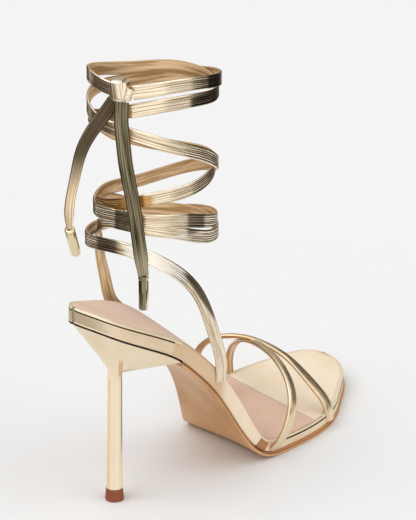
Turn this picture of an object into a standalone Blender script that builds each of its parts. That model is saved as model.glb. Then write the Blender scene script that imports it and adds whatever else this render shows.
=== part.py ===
"""Strappy stiletto sandal, the right shoe, as an assembly of closed solids.

A thin shaped footbed stands on a slim heel and a flat forefoot. Two narrow straps cross over the toes,
and two flat ties rise from the waist, wind round an open ankle and end in a knot with two hanging tails.

Frame while modelling, in millimetres: +X from the heel's back to the toe, +Y to the inner side of the
foot, +Z up from the floor. The parent empty moves the middle of the shoe's box to the world origin.
"""

import math
from typing import Callable, NamedTuple, Sequence

import bmesh
import bpy
import numpy as np
from mathutils import Vector

MM = 0.001

# Driving dimensions, in millimetres
LENGTH = 214.0  # footbed, heel to toe, in plan
MIDDLE = (107.35, 2.56)  # middle of the shoe's box in plan, without the free ends
GAP = 0.3  # clearance between pieces that touch
BED_THICK = 8.1  # footbed from heel to waist
BALL_THICK = 5.7  # footbed at the ball
SOLE_THICK = 2.0
TOE_SPRING = 3.0
SPRING_POWER = 1.8
EDGE_ROUND = 1.2
SOLE_ROUND = 0.7
SOLE_LIP = 0.7  # how far the outsole stands out round the forefoot
LIP_RISE = (100.0, 125.0)  # where it starts to stand out
TOP_CROWN = 0.8
UNDER_CROWN = 0.8
CROWN_RISE = (30.0, 60.0)  # where the crown grows along the bed
CROWN_FALL = (90.0, 120.0)  # where it dies away again
THIN_OUT = (90.0, 112.0)  # where the footbed thins to the ball
TILT_RISE = (0.0, 50.0)  # where the bed's edge leans more and more with its slope
TILT_FALL = (112.0, 124.0)
BREAST = 53.3  # where the heel ends under the waist
SOLE_START = 54.1
WAIST_END = 106.0
FLAT_START = 126.0
FLAT_END = 165.0
BED_STEPS = 44
BALL_STATIONS = (104.5, 110.0, 114.5, 118.5, 122.5)  # extra sections where the bed bends to the ball

HEEL_X = 26.5  # middle of the tip on the floor
HEEL_LEAN = 1.4  # how far the top of the stem stands ahead of it
TIP_HEIGHT = 6.0
NECK_FRONT = 64.3
NECK_BACK = 66.5
HEEL_SIDES = 30
NECK_FILLET = 0.07  # how tightly the stem turns into the seat's sides
FLARE_LEVELS = (0.05, 0.12, 0.22, 0.36, 0.55, 0.78, 1.0)  # shares of the way from neck to seat
SEAT_LEVELS = (0.66, 0.33)  # shares of the way from the heel's middle to the seat's outline
BREAST_STEPS = 3
SEAT_INSET = 0.5

TIE_WIDTH = 6.4
TOE_STRAP_WIDTH = 6.0
STRAP_THICK = 2.0
STRAP_ROUND = 0.6
RING_STEP = 5.5

ANKLE = (54.0, -3.0)  # centre of the open ankle in plan
ANKLE_RADII = (33.6, 26.9)
INSTEP = (3.0, 6.0)  # y and z of the line that the toe straps curl round

KNOT_CENTRE = (19.4, -13.1, 207.4)
KNOT_SIZE = (7.0, 9.0, 9.0)  # out from the ankle, along the tie, up
KNOT_TURN = 24.0  # degrees about +Z
KNOT_ROUND = 1.6
TAIL_RADIUS = 1.6
TAIL_STEP = 4.6
TAIL_RIM = 0.32  # how far the flat cap of a tail stands out
AGLET_RADIUS = 2.45
AGLET_LENGTH = 16.0
AGLET_SIDES = 16
ROOT_REACH = 16.0  # length of strap that the footbed's slots make room for
END_REACH = 12.0  # length of tie that the knot's slots make room for


class Section(NamedTuple):
    """One section across the footbed: breadths either side of y = 0 and heights of its top edges."""

    x: float
    outer: float
    inner: float
    outer_top: float
    inner_top: float


class Level(NamedTuple):
    """One round section of the heel's stem or tip."""

    height: float
    radius: float


class Wind(NamedTuple):
    """One place on a tie: degrees round the ankle, height, distance out and twist of its face."""

    turn: float
    height: float
    reach: float
    twist: float


class Bend(NamedTuple):
    """One place on a toe strap, and how far its face leans to the toe."""

    x: float
    y: float
    z: float
    lean: float


SECTIONS = (
    Section(0, 0, 0, 107, 107),
    Section(4, 9.3, 6.1, 104, 105.5),
    Section(12, 15.3, 12.4, 99.3, 102.7),
    Section(24, 20, 17, 93.2, 98.3),
    Section(38, 22.5, 19.5, 86.2, 93.8),
    Section(52, 24, 20, 77.7, 88.3),
    Section(66, 25, 19, 65.3, 79.5),
    Section(80, 26, 16.5, 50, 66),
    Section(94, 27.5, 15, 28.7, 46.5),
    Section(106, 29, 21.2, 11.4, 23),
    Section(116, 30, 28.8, 8.3, 10.5),
    Section(130, 31, 34, 8, 8),
    Section(148, 30.5, 39.5, 8, 8.2),
    Section(166, 26, 41.5, 8, 8.5),
    Section(184, 16.3, 38.2, 8.5, 9.2),
    Section(199, 7.2, 33.3, 9.3, 10.3),
    Section(209, -2.5, 27.5, 10, 11),
    Section(214, -16.5, 16.5, 10.8, 10.8),
)

STEM = (
    Level(TIP_HEIGHT + GAP, 3.95),
    Level(14, 3.8),
    Level(30, 3.6),
    Level(46, 3.5),
    Level(58, 3.45),
)

TIP = (Level(0, 4.3), Level(0.5, 4.5), Level(TIP_HEIGHT, 4.1))

# The tie from the outer edge: up, a loop behind, then round and round with falling turn
OUTER_TIE = (
    Wind(-55, 52.5, 1.9, -43),
    Wind(-56, 62, 1.8, -42),
    Wind(-67, 75, 1.5, -32),
    Wind(-83, 94.5, 1, -17),
    Wind(-94, 106.1, 0.6, -6),
    Wind(-106, 114.4, 0.6, 0),
    Wind(-129, 124.7, 0.6, 0),
    Wind(-157, 131.2, 0.6, 0),
    Wind(-193, 131.3, 1, 0),
    Wind(-215, 129.4, 1.8, 0),
    Wind(-237, 128.6, 1.8, 0),
    Wind(-301, 126.8, 0.6, 0),
    Wind(-330, 127.8, 0.6, 0),
    Wind(-376, 131, -0.5, 0),
    Wind(-407, 133.4, -1.3, 0),
    Wind(-441, 138.5, -0.5, 0),
    Wind(-470, 143.2, 0.8, 0),
    Wind(-499, 145.2, 0.4, 0),
    Wind(-532, 146.1, -2, 0),
    Wind(-560, 145, -2.2, 0),
    Wind(-590, 144.6, -2, 0),
    Wind(-625, 145, -0.4, 0),
    Wind(-656, 144.2, 0.6, 0),
    Wind(-706, 151.2, 0.6, 0),
    Wind(-767, 161, -0.8, 0),
    Wind(-798, 169.5, -0.3, 0),
    Wind(-846, 181, 0.6, 0),
    Wind(-872, 186, 0.6, 0),
    Wind(-907, 190, 0.6, 0),
    Wind(-957, 196, -0.3, 0),
    Wind(-1008, 194.7, 0.6, 0),
    Wind(-1041, 195.3, 0.6, 0),
    Wind(-1074, 197.5, 0.6, 0),
    Wind(-1134, 202.3, 0.6, 0),
    Wind(-1195, 207, 0.6, 0),
    Wind(-1230.5, 205.5, 0.6, 0),
)

# The tie from the inner edge winds the other way, under the first where they cross
INNER_TIE = (
    Wind(51, 61.5, -0.2, 8),
    Wind(66, 71.5, 0.2, -4),
    Wind(81, 80.6, 0.4, -14),
    Wind(93.5, 89, 0, -20),
    Wind(101.5, 100.6, -0.6, -20),
    Wind(110.5, 115.5, -0.8, -12),
    Wind(117.5, 128, -1.6, -4),
    Wind(140, 135.6, -4.8, 0),
    Wind(160, 139.6, -4.4, 0),
    Wind(180, 142.4, -2.8, 0),
    Wind(221, 140.8, -0.8, 0),
    Wind(248, 137, -0.6, 0),
    Wind(281, 130.7, 0, 0),
    Wind(315, 128, -0.8, 0),
    Wind(344, 127.9, -1, 0),
    Wind(390, 129.2, -0.6, 0),
    Wind(419, 131, -0.6, 0),
    Wind(450, 138.6, -1.2, 0),
    Wind(480, 143, -3.6, 0),
    Wind(510, 146.9, -3.7, 0),
    Wind(545, 150.4, -3.2, 0),
    Wind(581, 154.7, -1.2, 0),
    Wind(604, 156.1, 0, 0),
    Wind(640, 158, -0.8, 0),
    Wind(675, 159.8, -2.2, 0),
    Wind(710, 160, -1, 0),
    Wind(760, 161.5, -0.6, 0),
    Wind(784, 165.7, -0.6, 0),
    Wind(803, 170, -0.6, 0),
    Wind(830, 180, -0.6, 0),
    Wind(860, 188, -0.6, 0),
    Wind(890, 192, -0.6, 0),
    Wind(927, 196.6, -0.6, 0),
    Wind(987, 198.2, -0.6, 0),
    Wind(1027, 196, -0.6, 0),
    Wind(1108, 199.7, -0.6, 0),
    Wind(1144, 200.5, -0.6, 0),
    Wind(1195, 206, -0.6, 0),
    Wind(1235, 208.8, 0, 0),
    Wind(1255, 207.8, 0.4, 0),
    Wind(1270.5, 206.4, 0.6, 0),
)

# The strap from the outer side of the ball to the inner side of the toes
BACK_TOE_STRAP = (
    Bend(111, -29.3, 4.6, 0),
    Bend(112, -33.5, 10, 0),
    Bend(114, -36, 17, 0),
    Bend(118, -36, 28, 0.1),
    Bend(122.5, -31.5, 33.6, 0.2),
    Bend(129, -22, 38.4, 0.3),
    Bend(137, -7, 41.3, 0.35),
    Bend(144.5, 12, 40.6, 0.3),
    Bend(151, 25, 35, 0.2),
    Bend(160, 37, 24.5, 0.1),
    Bend(164, 42, 16, 0),
    Bend(163.5, 41, 5.5, 0),
)

# The strap over it, from the outer side of the toes to the inner side of the ball
FRONT_TOE_STRAP = (
    Bend(157.6, -29.5, 4.2, 0),
    Bend(157.3, -28.6, 10.5, 0),
    Bend(156, -21, 20.3, 0.1),
    Bend(153.3, -13.2, 28.6, 0.2),
    Bend(151.3, -7.7, 33.7, 0.3),
    Bend(148.2, 0.8, 38.6, 0.35),
    Bend(143.8, 12, 42.1, 0.35),
    Bend(138.4, 24, 41.8, 0.3),
    Bend(135.4, 31, 39, 0.2),
    Bend(132.8, 36, 33.5, 0.1),
    Bend(131, 37, 22, 0),
    Bend(130.5, 34.2, 5.5, 0),
)

# The tails of the tie, from the knot to the top of each metal end, and the way that end points
TAIL_A = (
    (18.9, -10.4, 202.2),
    (16.4, -8.6, 198),
    (11.2, -5.9, 191.2),
    (3.9, -4.4, 182),
    (-1.3, -4.2, 169.4),
    (-4.8, -4, 157.4),
    (-4.9, -3.8, 146.8),
)
TAIL_B = (
    (18.9, -14.9, 202.2),
    (17.2, -15.8, 196),
    (17.2, -16.6, 186),
    (17.8, -17.3, 175.6),
    (19.3, -19.8, 158.4),
    (20.9, -21.9, 138.7),
    (22.5, -23.3, 121),
)
AGLET_A_WAY = (0.42, 0.17, -0.89)
AGLET_B_WAY = (0, 0, -1)


def ease(low: float, high: float, at: float) -> float:
    """Rise smoothly from 0 at low to 1 at high."""
    part = min(max((at - low) / (high - low), 0.0), 1.0)
    return part * part * (3 - 2 * part)


def natural_spline(knots: Sequence[float], values: Sequence[Sequence[float]]) -> Callable:
    """Return a reader of the natural cubic through the values, one row of values for each knot."""
    t = np.asarray(knots, float)
    v = np.asarray(values, float)
    gap = np.diff(t)
    slope = np.diff(v, axis=0) / gap[:, None]
    matrix = np.eye(len(t))
    right = np.zeros_like(v)
    for i in range(1, len(t) - 1):
        matrix[i, i - 1 : i + 2] = gap[i - 1], 2 * (gap[i - 1] + gap[i]), gap[i]
        right[i] = 6 * (slope[i] - slope[i - 1])
    bend = np.linalg.solve(matrix, right)

    def read(at: float) -> np.ndarray:
        i = int(np.clip(np.searchsorted(t, at) - 1, 0, len(gap) - 1))
        near, far = at - t[i], t[i + 1] - at
        cubic = (bend[i] * far**3 + bend[i + 1] * near**3) / (6 * gap[i])
        low = (v[i] / gap[i] - bend[i] * gap[i] / 6) * far
        high = (v[i + 1] / gap[i] - bend[i + 1] * gap[i] / 6) * near
        return cubic + low + high

    return read


class Bed:
    """The curved form that footbed, outsole and heel seat share."""

    def __init__(self, sections: Sequence[Section]) -> None:
        self._read = natural_spline([self.station(row.x) for row in sections], [row[1:] for row in sections])

    @staticmethod
    def station(x: float) -> float:
        """Turn a distance from the heel into a share that moves slowly round both ends."""
        return math.acos(min(max(1 - 2 * x / LENGTH, -1.0), 1.0)) / math.pi

    @staticmethod
    def distance(share: float) -> float:
        """Turn that share back into a distance from the heel."""
        return LENGTH * (1 - math.cos(math.pi * share)) / 2

    def outline(self, share: float, side: int) -> Vector:
        """Return the plan point of the outer (-1) or inner (1) edge."""
        row = self._read(share)
        return Vector((self.distance(share), -row[0] if side < 0 else row[1]))

    def plan(self, share: float, side: int, inset: float) -> Vector:
        """Return a plan point that lies inset from the edge, square to the outline."""
        step = 0.002
        low = max(share - step, 0.0)
        high = min(share + step, 1.0)
        along = (self.outline(high, side) - self.outline(low, side)).normalized()
        inward = Vector((along.y, -along.x)) * side
        return self.outline(share, side) + inward * inset

    def _across(self, x: float, y: float) -> tuple[float, float]:
        """Return the plain height of the top at a plan point, and its crown from 0 to 1."""
        outer, inner, outer_top, inner_top = self._read(self.station(x))
        breadth = outer + inner
        share = min(max((y + outer) / breadth, 0.0), 1.0) if breadth > 1e-6 else 0.5
        height = outer_top + (inner_top - outer_top) * share
        return height, 4 * share * (1 - share) * ease(*CROWN_RISE, x) * (1 - ease(*CROWN_FALL, x))

    def pitch(self, x: float) -> float:
        """Return the downward slope of the bed in radians, upright at the heel's back and level at the ball."""
        step = 0.5
        ahead = self._read(self.station(x + step))[2:].mean()
        behind = self._read(self.station(x - step))[2:].mean()
        slope = math.atan((behind - ahead) / (2 * step))
        return slope * ease(*TILT_RISE, x) * (1 - ease(*TILT_FALL, x))

    def top(self, point: Vector) -> Vector:
        """Return the point of the top surface over a plan point."""
        height, crown = self._across(point.x, point.y)
        return Vector((point.x, point.y, height + TOP_CROWN * crown))

    def under(self, point: Vector, drop: float) -> Vector:
        """Return the point that lies drop below the footbed's underside."""
        tilt = self.pitch(point.x)
        height, crown = self._across(point.x, point.y)
        thick = BED_THICK - (BED_THICK - BALL_THICK) * ease(*THIN_OUT, point.x)
        depth = thick + UNDER_CROWN * crown + drop
        lift = TOE_SPRING * max((point.x - FLAT_END) / (LENGTH - FLAT_END), 0.0) ** SPRING_POWER
        flat = SOLE_THICK + GAP + lift - drop
        z = height - depth * math.cos(tilt)
        z = max(z + (flat - z) * ease(WAIST_END, FLAT_START, point.x), flat)
        return Vector((point.x - depth * math.sin(tilt), point.y, z))


BED = Bed(SECTIONS)

SIDE_PLACES = (2, 3, 11, 12)  # the upright sides in slab_ring


def material(name: str, colour: Sequence[float], roughness: float, metallic: float) -> bpy.types.Material:
    """Make a plain Principled material."""
    made = bpy.data.materials.new(name)
    made.use_nodes = True
    shader = made.node_tree.nodes["Principled BSDF"]
    shader.inputs["Base Color"].default_value = (*colour, 1.0)
    shader.inputs["Roughness"].default_value = roughness
    shader.inputs["Metallic"].default_value = metallic
    return made


def mesh_object(name: str, points: Sequence[Vector], faces: Sequence[Sequence[int]]) -> bpy.types.Object:
    """Make an object from points in millimetres, with its faces pointing out."""
    mesh = bpy.data.meshes.new(name)
    mesh.from_pydata([Vector(p) * MM for p in points], [], faces)
    form = bmesh.new()
    form.from_mesh(mesh)
    bmesh.ops.recalc_face_normals(form, faces=form.faces)
    if form.calc_volume(signed=True) < 0:
        bmesh.ops.reverse_faces(form, faces=form.faces)
    form.to_mesh(mesh)
    form.free()
    mesh.shade_smooth()
    mesh.set_sharp_from_angle(angle=math.radians(40))
    made = bpy.data.objects.new(name, mesh)
    bpy.context.scene.collection.objects.link(made)
    return made


def skin(rings: Sequence[Sequence[Vector]]) -> tuple[list[Vector], list[tuple[int, ...]]]:
    """Join rings of equal count into a tube of quads, open at both ends."""
    count = len(rings[0])
    points = [p for ring in rings for p in ring]
    faces = []
    for r in range(len(rings) - 1):
        for k in range(count):
            after = (k + 1) % count
            faces.append((r * count + k, r * count + after, (r + 1) * count + after, (r + 1) * count + k))
    return points, faces


def solid(name: str, rings: Sequence[Sequence[Vector]]) -> bpy.types.Object:
    """Make a closed solid from rings, with a flat face on each end."""
    points, faces = skin(rings)
    count = len(rings[0])
    faces.append(tuple(range(count)))
    faces.append(tuple(range(len(points) - count, len(points))))
    return mesh_object(name, points, faces)


def slab_ring(share: float, top: Callable, bottom: Callable, inset: float, corner: float) -> list[Vector]:
    """Return one section of a thin slab, with rounded edges, from outer bottom round to inner bottom."""
    rounding = ((1.0, 0.0), (0.3, 0.3), (0.0, 1.0))
    sides = {}
    for side in (-1, 1):
        low = []
        high = []
        for inward, rise in rounding:
            plan = BED.plan(share, side, inset + inward * corner)
            foot, head = bottom(plan), top(plan)
            step = (head - foot).normalized() * rise * corner
            low.append(foot + step)
            high.append(head - step)
        sides[side] = low + high[::-1]
    ring = sides[-1]
    plans = [BED.plan(share, side, inset + corner) for side in (-1, 1)]
    between = [plans[0].lerp(plans[1], part) for part in (0.25, 0.5, 0.75)]
    ring += [top(plan) for plan in between]
    ring += sides[1][::-1]
    ring += [bottom(plan) for plan in reversed(between)]
    return ring


def slab(name: str, rings: Sequence[Sequence[Vector]]) -> bpy.types.Object:
    """Close a slab's sections with a fan on each end, from a point level with its sides."""
    points, faces = skin(rings)
    count = len(rings[0])
    for start in (0, count * (len(rings) - 1)):
        sides = [points[start + k] for k in SIDE_PLACES]
        points.append(sum(sides, Vector()) / len(sides))
        for k in range(count):
            faces.append((start + k, start + (k + 1) % count, len(points) - 1))
    return mesh_object(name, points, faces)


def stations(first: float = 0.04) -> list[float]:
    """Return the shares along the bed that all its layers use, from one distance to the toe."""
    last = BED.station(LENGTH - 0.04)
    shares = [last * i / BED_STEPS for i in range(1, BED_STEPS + 1)]
    shares += [BED.station(x) for x in BALL_STATIONS]
    start = BED.station(first)
    return [start] + sorted(share for share in shares if share > start + 0.008)


def make_footbed() -> bpy.types.Object:
    """The board that the foot rests on, with rounded edges."""
    rings = []
    for share in stations():
        rings.append(slab_ring(share, BED.top, lambda plan: BED.under(plan, 0.0), 0.0, EDGE_ROUND))
    return slab("footbed", rings)


def make_outsole() -> bpy.types.Object:
    """The thin sole, from the heel's front to the toe, standing out a little round the forefoot."""
    rings = []
    for share in stations(SOLE_START):
        lip = SOLE_LIP * ease(*LIP_RISE, BED.distance(share))
        top = lambda plan: BED.under(plan, GAP)
        bottom = lambda plan: BED.under(plan, GAP + SOLE_THICK)
        rings.append(slab_ring(share, top, bottom, -lip, SOLE_ROUND))
    return slab("outsole", rings)


def seat_plan(step: int) -> Vector:
    """Return a plan point of the heel seat's outline, counted from the middle of its front edge."""
    side = -1 if step <= HEEL_SIDES // 2 else 1
    count = step if side < 0 else HEEL_SIDES - step
    front = BED.station(BREAST)
    corner = BED.plan(front, side, SEAT_INSET)
    if count <= BREAST_STEPS:
        across = BED.plan(front, -side, SEAT_INSET)
        return corner.lerp(across, 0.5 * (1 - count / BREAST_STEPS))
    back = (count - BREAST_STEPS) / (HEEL_SIDES // 2 - BREAST_STEPS)
    return BED.plan(front * (1 - back), side, SEAT_INSET)


def stem_x(height: float) -> float:
    """Return where the middle of the leaning stem stands at a height."""
    return HEEL_X + HEEL_LEAN * min(height / STEM[-1].height, 1.0)


def round_level(level: Level, angles: Sequence[float]) -> list[Vector]:
    """Return one round section of the stem or the tip."""
    middle = stem_x(level.height)
    return [Vector((middle + level.radius * math.cos(a), level.radius * math.sin(a), level.height)) for a in angles]


def make_heel() -> bpy.types.Object:
    """The stiletto: a slim stem that opens in a tight curve and then straight sides to the whole seat."""
    angles = [-2 * math.pi * k / HEEL_SIDES for k in range(HEEL_SIDES)]
    rings = [round_level(level, angles) for level in STEM]
    top = HEEL_X + HEEL_LEAN
    neck = []
    for a in angles:
        height = NECK_BACK + (NECK_FRONT - NECK_BACK) * (1 + math.cos(a)) / 2
        radius = STEM[-1].radius
        neck.append(Vector((top + radius * math.cos(a), radius * math.sin(a), height)))
    rings.append(neck)
    plans = [seat_plan(k) for k in range(HEEL_SIDES)]
    seat = [BED.under(plan, GAP) for plan in plans]
    for part in FLARE_LEVELS:
        out = part * part / (part + NECK_FILLET) * (1 + NECK_FILLET)
        ring = []
        for low, high in zip(neck, seat):
            plan = low.xy.lerp(high.xy, out)
            ring.append(Vector((*plan, low.z + (high.z - low.z) * part)))
        rings.append(ring)
    middle = Vector((top, 0.0))
    for part in SEAT_LEVELS:
        rings.append([BED.under(middle.lerp(plan, part), GAP) for plan in plans])
    points, faces = skin(rings)
    faces.append(tuple(range(HEEL_SIDES)))
    points.append(BED.under(middle, GAP))
    last = len(points) - 1 - HEEL_SIDES
    for k in range(HEEL_SIDES):
        faces.append((last + k, last + (k + 1) % HEEL_SIDES, len(points) - 1))
    return mesh_object("heel", points, faces)


def make_tip() -> bpy.types.Object:
    """The hard top piece on the floor end of the heel."""
    angles = [2 * math.pi * k / HEEL_SIDES for k in range(HEEL_SIDES)]
    return solid("heel_tip", [round_level(level, angles) for level in TIP])


class Ribbon:
    """A strap: a smooth path with the way that its face looks at each place."""

    def __init__(
        self, places: Sequence[Vector], place: Callable, facing: Callable, rows: Sequence[Sequence[float]]
    ) -> None:
        lengths = [0.0]
        for before, after in zip(places, places[1:]):
            lengths.append(lengths[-1] + (after - before).length)
        self.length = lengths[-1]
        self._row = natural_spline(lengths, rows)
        self._place = place
        self._facing = facing

    def place(self, along: float) -> Vector:
        """Return the middle of the strap at a distance along it."""
        return self._place(self._row(along))

    def ring(self, along: float, width: float, thick: float) -> list[Vector]:
        """Return the strap's section there, a rectangle with its corners cut."""
        step = 0.2
        centre = self.place(along)
        ahead = (self.place(along + step) - self.place(along - step)).normalized()
        face = self._facing(self._row(along))
        face = (face - ahead * face.dot(ahead)).normalized()
        across = ahead.cross(face)
        w, t, c = width / 2, thick / 2, STRAP_ROUND
        corners = ((w - c, t), (w, t - c), (w, c - t), (w - c, -t), (c - w, -t), (-w, c - t), (-w, t - c), (c - w, t))
        return [centre + across * a + face * b for a, b in corners]

    def rings(self, width: float, thick: float, start: float, end: float) -> list[list[Vector]]:
        """Return evenly spaced sections from start to end."""
        count = max(2, math.ceil((end - start) / RING_STEP))
        return [self.ring(start + (end - start) * i / count, width, thick) for i in range(count + 1)]


def tie_ribbon(rows: Sequence[Wind]) -> Ribbon:
    """Lay a tie round the ankle's oval column."""

    def place(row: Sequence[float]) -> Vector:
        turn = math.radians(row[0])
        x = ANKLE[0] + (ANKLE_RADII[0] + row[2]) * math.cos(turn)
        y = ANKLE[1] + (ANKLE_RADII[1] + row[2]) * math.sin(turn)
        return Vector((x, y, row[1]))

    def facing(row: Sequence[float]) -> Vector:
        turn = math.radians(row[0])
        out = Vector((math.cos(turn) / ANKLE_RADII[0], math.sin(turn) / ANKLE_RADII[1])).normalized()
        twist = math.radians(row[3])
        x = out.x * math.cos(twist) - out.y * math.sin(twist)
        y = out.x * math.sin(twist) + out.y * math.cos(twist)
        return Vector((x, y, 0.0))

    return Ribbon([place(row) for row in rows], place, facing, rows)


def toe_ribbon(rows: Sequence[Bend]) -> Ribbon:
    """Lay a toe strap over the instep line."""

    def place(row: Sequence[float]) -> Vector:
        return Vector(row[:3])

    def facing(row: Sequence[float]) -> Vector:
        out = Vector((0.0, row[1] - INSTEP[0], row[2] - INSTEP[1])).normalized()
        return Vector((row[3], out.y, out.z)).normalized()

    return Ribbon([place(row) for row in rows], place, facing, rows)


def strap(name: str, ribbon: Ribbon, width: float) -> bpy.types.Object:
    """Make the whole strap as one solid."""
    return solid(name, ribbon.rings(width, STRAP_THICK, 0.0, ribbon.length))


def slot_cutter(name: str, ribbon: Ribbon, width: float, start: float, end: float) -> bpy.types.Object:
    """Make a hidden copy of a strap's root, larger all round by the clearance."""
    return hide(solid(name, ribbon.rings(width + 2 * GAP, STRAP_THICK + 2 * GAP, start, end)))


def hide(guide: bpy.types.Object) -> bpy.types.Object:
    """Keep a cutter or guide out of the finished model."""
    guide.hide_render = True
    guide.display_type = "WIRE"
    return guide


def combine(target: bpy.types.Object, other: bpy.types.Object, operation: str) -> None:
    """Add an exact Boolean of target with other."""
    boolean = target.modifiers.new(other.name, "BOOLEAN")
    boolean.operation = operation
    boolean.solver = "EXACT"
    boolean.object = other


def make_knot() -> bpy.types.Object:
    """The square knot at the back of the wraps, a block with rounded edges."""
    form = bmesh.new()
    bmesh.ops.create_cube(form, size=1.0)
    bmesh.ops.scale(form, vec=Vector(KNOT_SIZE) * MM, verts=form.verts)
    bmesh.ops.bevel(form, geom=form.edges[:], offset=KNOT_ROUND * MM, segments=2, affect="EDGES", profile=0.5)
    mesh = bpy.data.meshes.new("knot")
    form.to_mesh(mesh)
    form.free()
    mesh.shade_smooth()
    mesh.set_sharp_from_angle(angle=math.radians(40))
    made = bpy.data.objects.new("knot", mesh)
    made.location = Vector(KNOT_CENTRE) * MM
    made.rotation_euler.z = math.radians(KNOT_TURN)
    bpy.context.scene.collection.objects.link(made)
    return made


def make_tail(name: str, route: Sequence[Sequence[float]]) -> bpy.types.Object:
    """A free end of the tie, as a round cord along a smooth route."""
    points = [Vector(p) for p in route]
    lengths = [0.0]
    for before, after in zip(points, points[1:]):
        lengths.append(lengths[-1] + (after - before).length)
    read = natural_spline(lengths, route)
    count = math.ceil(lengths[-1] / TAIL_STEP)
    curve = bpy.data.curves.new(name, "CURVE")
    curve.dimensions = "3D"
    curve.bevel_depth = TAIL_RADIUS * MM
    curve.bevel_resolution = 2
    curve.resolution_u = 1
    curve.render_resolution_u = 0
    curve.use_fill_caps = True
    spline = curve.splines.new("POLY")
    spline.points.add(count)
    for i, point in enumerate(spline.points):
        place = read(lengths[-1] * i / count)
        point.co = (*(place * MM), 1.0)
    made = bpy.data.objects.new(name, curve)
    bpy.context.scene.collection.objects.link(made)
    return made


def make_aglet(name: str, route: Sequence[Sequence[float]], way: Sequence[float]) -> bpy.types.Object:
    """A turned metal end, with a small rim where the tail enters it."""
    axis = Vector(way).normalized()
    start = Vector(route[-1]) + axis * (GAP + TAIL_RIM)
    side = axis.orthogonal().normalized()
    up = axis.cross(side)
    levels = ((0.0, 0.8), (0.4, 1.0), (1.6, 1.0), (1.9, 0.92), (AGLET_LENGTH - 0.5, 0.92), (AGLET_LENGTH, 0.75))
    rings = []
    for along, share in levels:
        radius = AGLET_RADIUS * share
        turns = [2 * math.pi * k / AGLET_SIDES for k in range(AGLET_SIDES)]
        rings.append([start + axis * along + (side * math.cos(a) + up * math.sin(a)) * radius for a in turns])
    return solid(name, rings)


def main() -> None:
    """Build every sub-part under one parent."""
    for old in list(bpy.data.objects):
        bpy.data.objects.remove(old, do_unlink=True)

    outer_tie, inner_tie = tie_ribbon(OUTER_TIE), tie_ribbon(INNER_TIE)
    back_strap, front_strap = toe_ribbon(BACK_TOE_STRAP), toe_ribbon(FRONT_TOE_STRAP)

    footbed = make_footbed()
    for name, ribbon, width in (
        ("slot_outer_tie", outer_tie, TIE_WIDTH),
        ("slot_inner_tie", inner_tie, TIE_WIDTH),
        ("slot_back_strap", back_strap, TOE_STRAP_WIDTH),
        ("slot_front_strap", front_strap, TOE_STRAP_WIDTH),
    ):
        combine(footbed, slot_cutter(name, ribbon, width, -GAP, ROOT_REACH), "DIFFERENCE")
    for name, ribbon in (("slot_back_end", back_strap), ("slot_front_end", front_strap)):
        cutter = slot_cutter(name, ribbon, TOE_STRAP_WIDTH, ribbon.length - ROOT_REACH, ribbon.length + GAP)
        combine(footbed, cutter, "DIFFERENCE")

    ankle_ties = strap("ankle_ties", outer_tie, TIE_WIDTH)
    combine(ankle_ties, hide(strap("inner_tie", inner_tie, TIE_WIDTH)), "UNION")
    knot = make_knot()
    for name, ribbon in (("slot_outer_end", outer_tie), ("slot_inner_end", inner_tie)):
        cutter = slot_cutter(name, ribbon, TIE_WIDTH, ribbon.length - END_REACH, ribbon.length + GAP)
        combine(knot, cutter, "DIFFERENCE")
    toe_straps = strap("toe_straps", back_strap, TOE_STRAP_WIDTH)
    combine(toe_straps, hide(strap("front_strap", front_strap, TOE_STRAP_WIDTH)), "UNION")

    gold = ((0.72, 0.58, 0.36), 0.35, 0.8)
    pieces = (
        (make_outsole(), ((0.5, 0.3, 0.16), 0.6, 0.0)),
        (footbed, ((0.67, 0.48, 0.36), 0.6, 0.0)),
        (make_heel(), ((0.78, 0.66, 0.44), 0.25, 0.5)),
        (make_tip(), ((0.28, 0.08, 0.05), 0.5, 0.0)),
        (toe_straps, gold),
        (ankle_ties, gold),
        (knot, gold),
        (make_tail("tail_a", TAIL_A), gold),
        (make_tail("tail_b", TAIL_B), gold),
        (make_aglet("aglet_a", TAIL_A, AGLET_A_WAY), ((0.6, 0.45, 0.2), 0.15, 1.0)),
        (make_aglet("aglet_b", TAIL_B, AGLET_B_WAY), ((0.6, 0.45, 0.2), 0.15, 1.0)),
    )
    for piece, finish in pieces:
        piece.data.materials.append(material(piece.name, *finish))

    parent = bpy.data.objects.new("sandal", None)
    bpy.context.scene.collection.objects.link(parent)
    parent.location = Vector((-MIDDLE[0], -MIDDLE[1], 0.0)) * MM
    for made in bpy.data.objects:
        if made is not parent:
            made.parent = parent


main()
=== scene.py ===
"""Looks of a strappy stiletto sandal, the right shoe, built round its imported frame.

The shoe's own sizes are in millimetres: +X from the heel's back to the toe, +Y to the inner side of the
foot, +Z up from the floor. Every finished mesh is stored in metres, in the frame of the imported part.
"""

import logging
import math
from dataclasses import dataclass, field
from enum import Enum
from functools import partial
from typing import Callable, Sequence

import bmesh
import bpy
import numpy as np
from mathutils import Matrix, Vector


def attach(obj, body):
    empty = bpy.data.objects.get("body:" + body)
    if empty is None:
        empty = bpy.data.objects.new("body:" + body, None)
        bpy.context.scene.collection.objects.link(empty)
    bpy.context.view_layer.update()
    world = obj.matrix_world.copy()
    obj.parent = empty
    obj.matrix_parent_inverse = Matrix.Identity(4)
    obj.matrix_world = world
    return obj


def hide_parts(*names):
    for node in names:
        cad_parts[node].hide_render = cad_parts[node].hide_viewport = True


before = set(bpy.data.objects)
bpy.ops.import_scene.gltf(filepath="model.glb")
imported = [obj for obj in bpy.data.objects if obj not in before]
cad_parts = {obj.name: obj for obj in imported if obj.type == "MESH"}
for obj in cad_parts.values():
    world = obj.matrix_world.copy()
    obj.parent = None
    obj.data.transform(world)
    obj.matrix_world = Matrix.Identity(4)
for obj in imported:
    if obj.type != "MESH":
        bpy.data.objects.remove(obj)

LOG = logging.getLogger("sandal")
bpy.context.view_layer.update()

MM = 0.001
BODY = "root"
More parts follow.
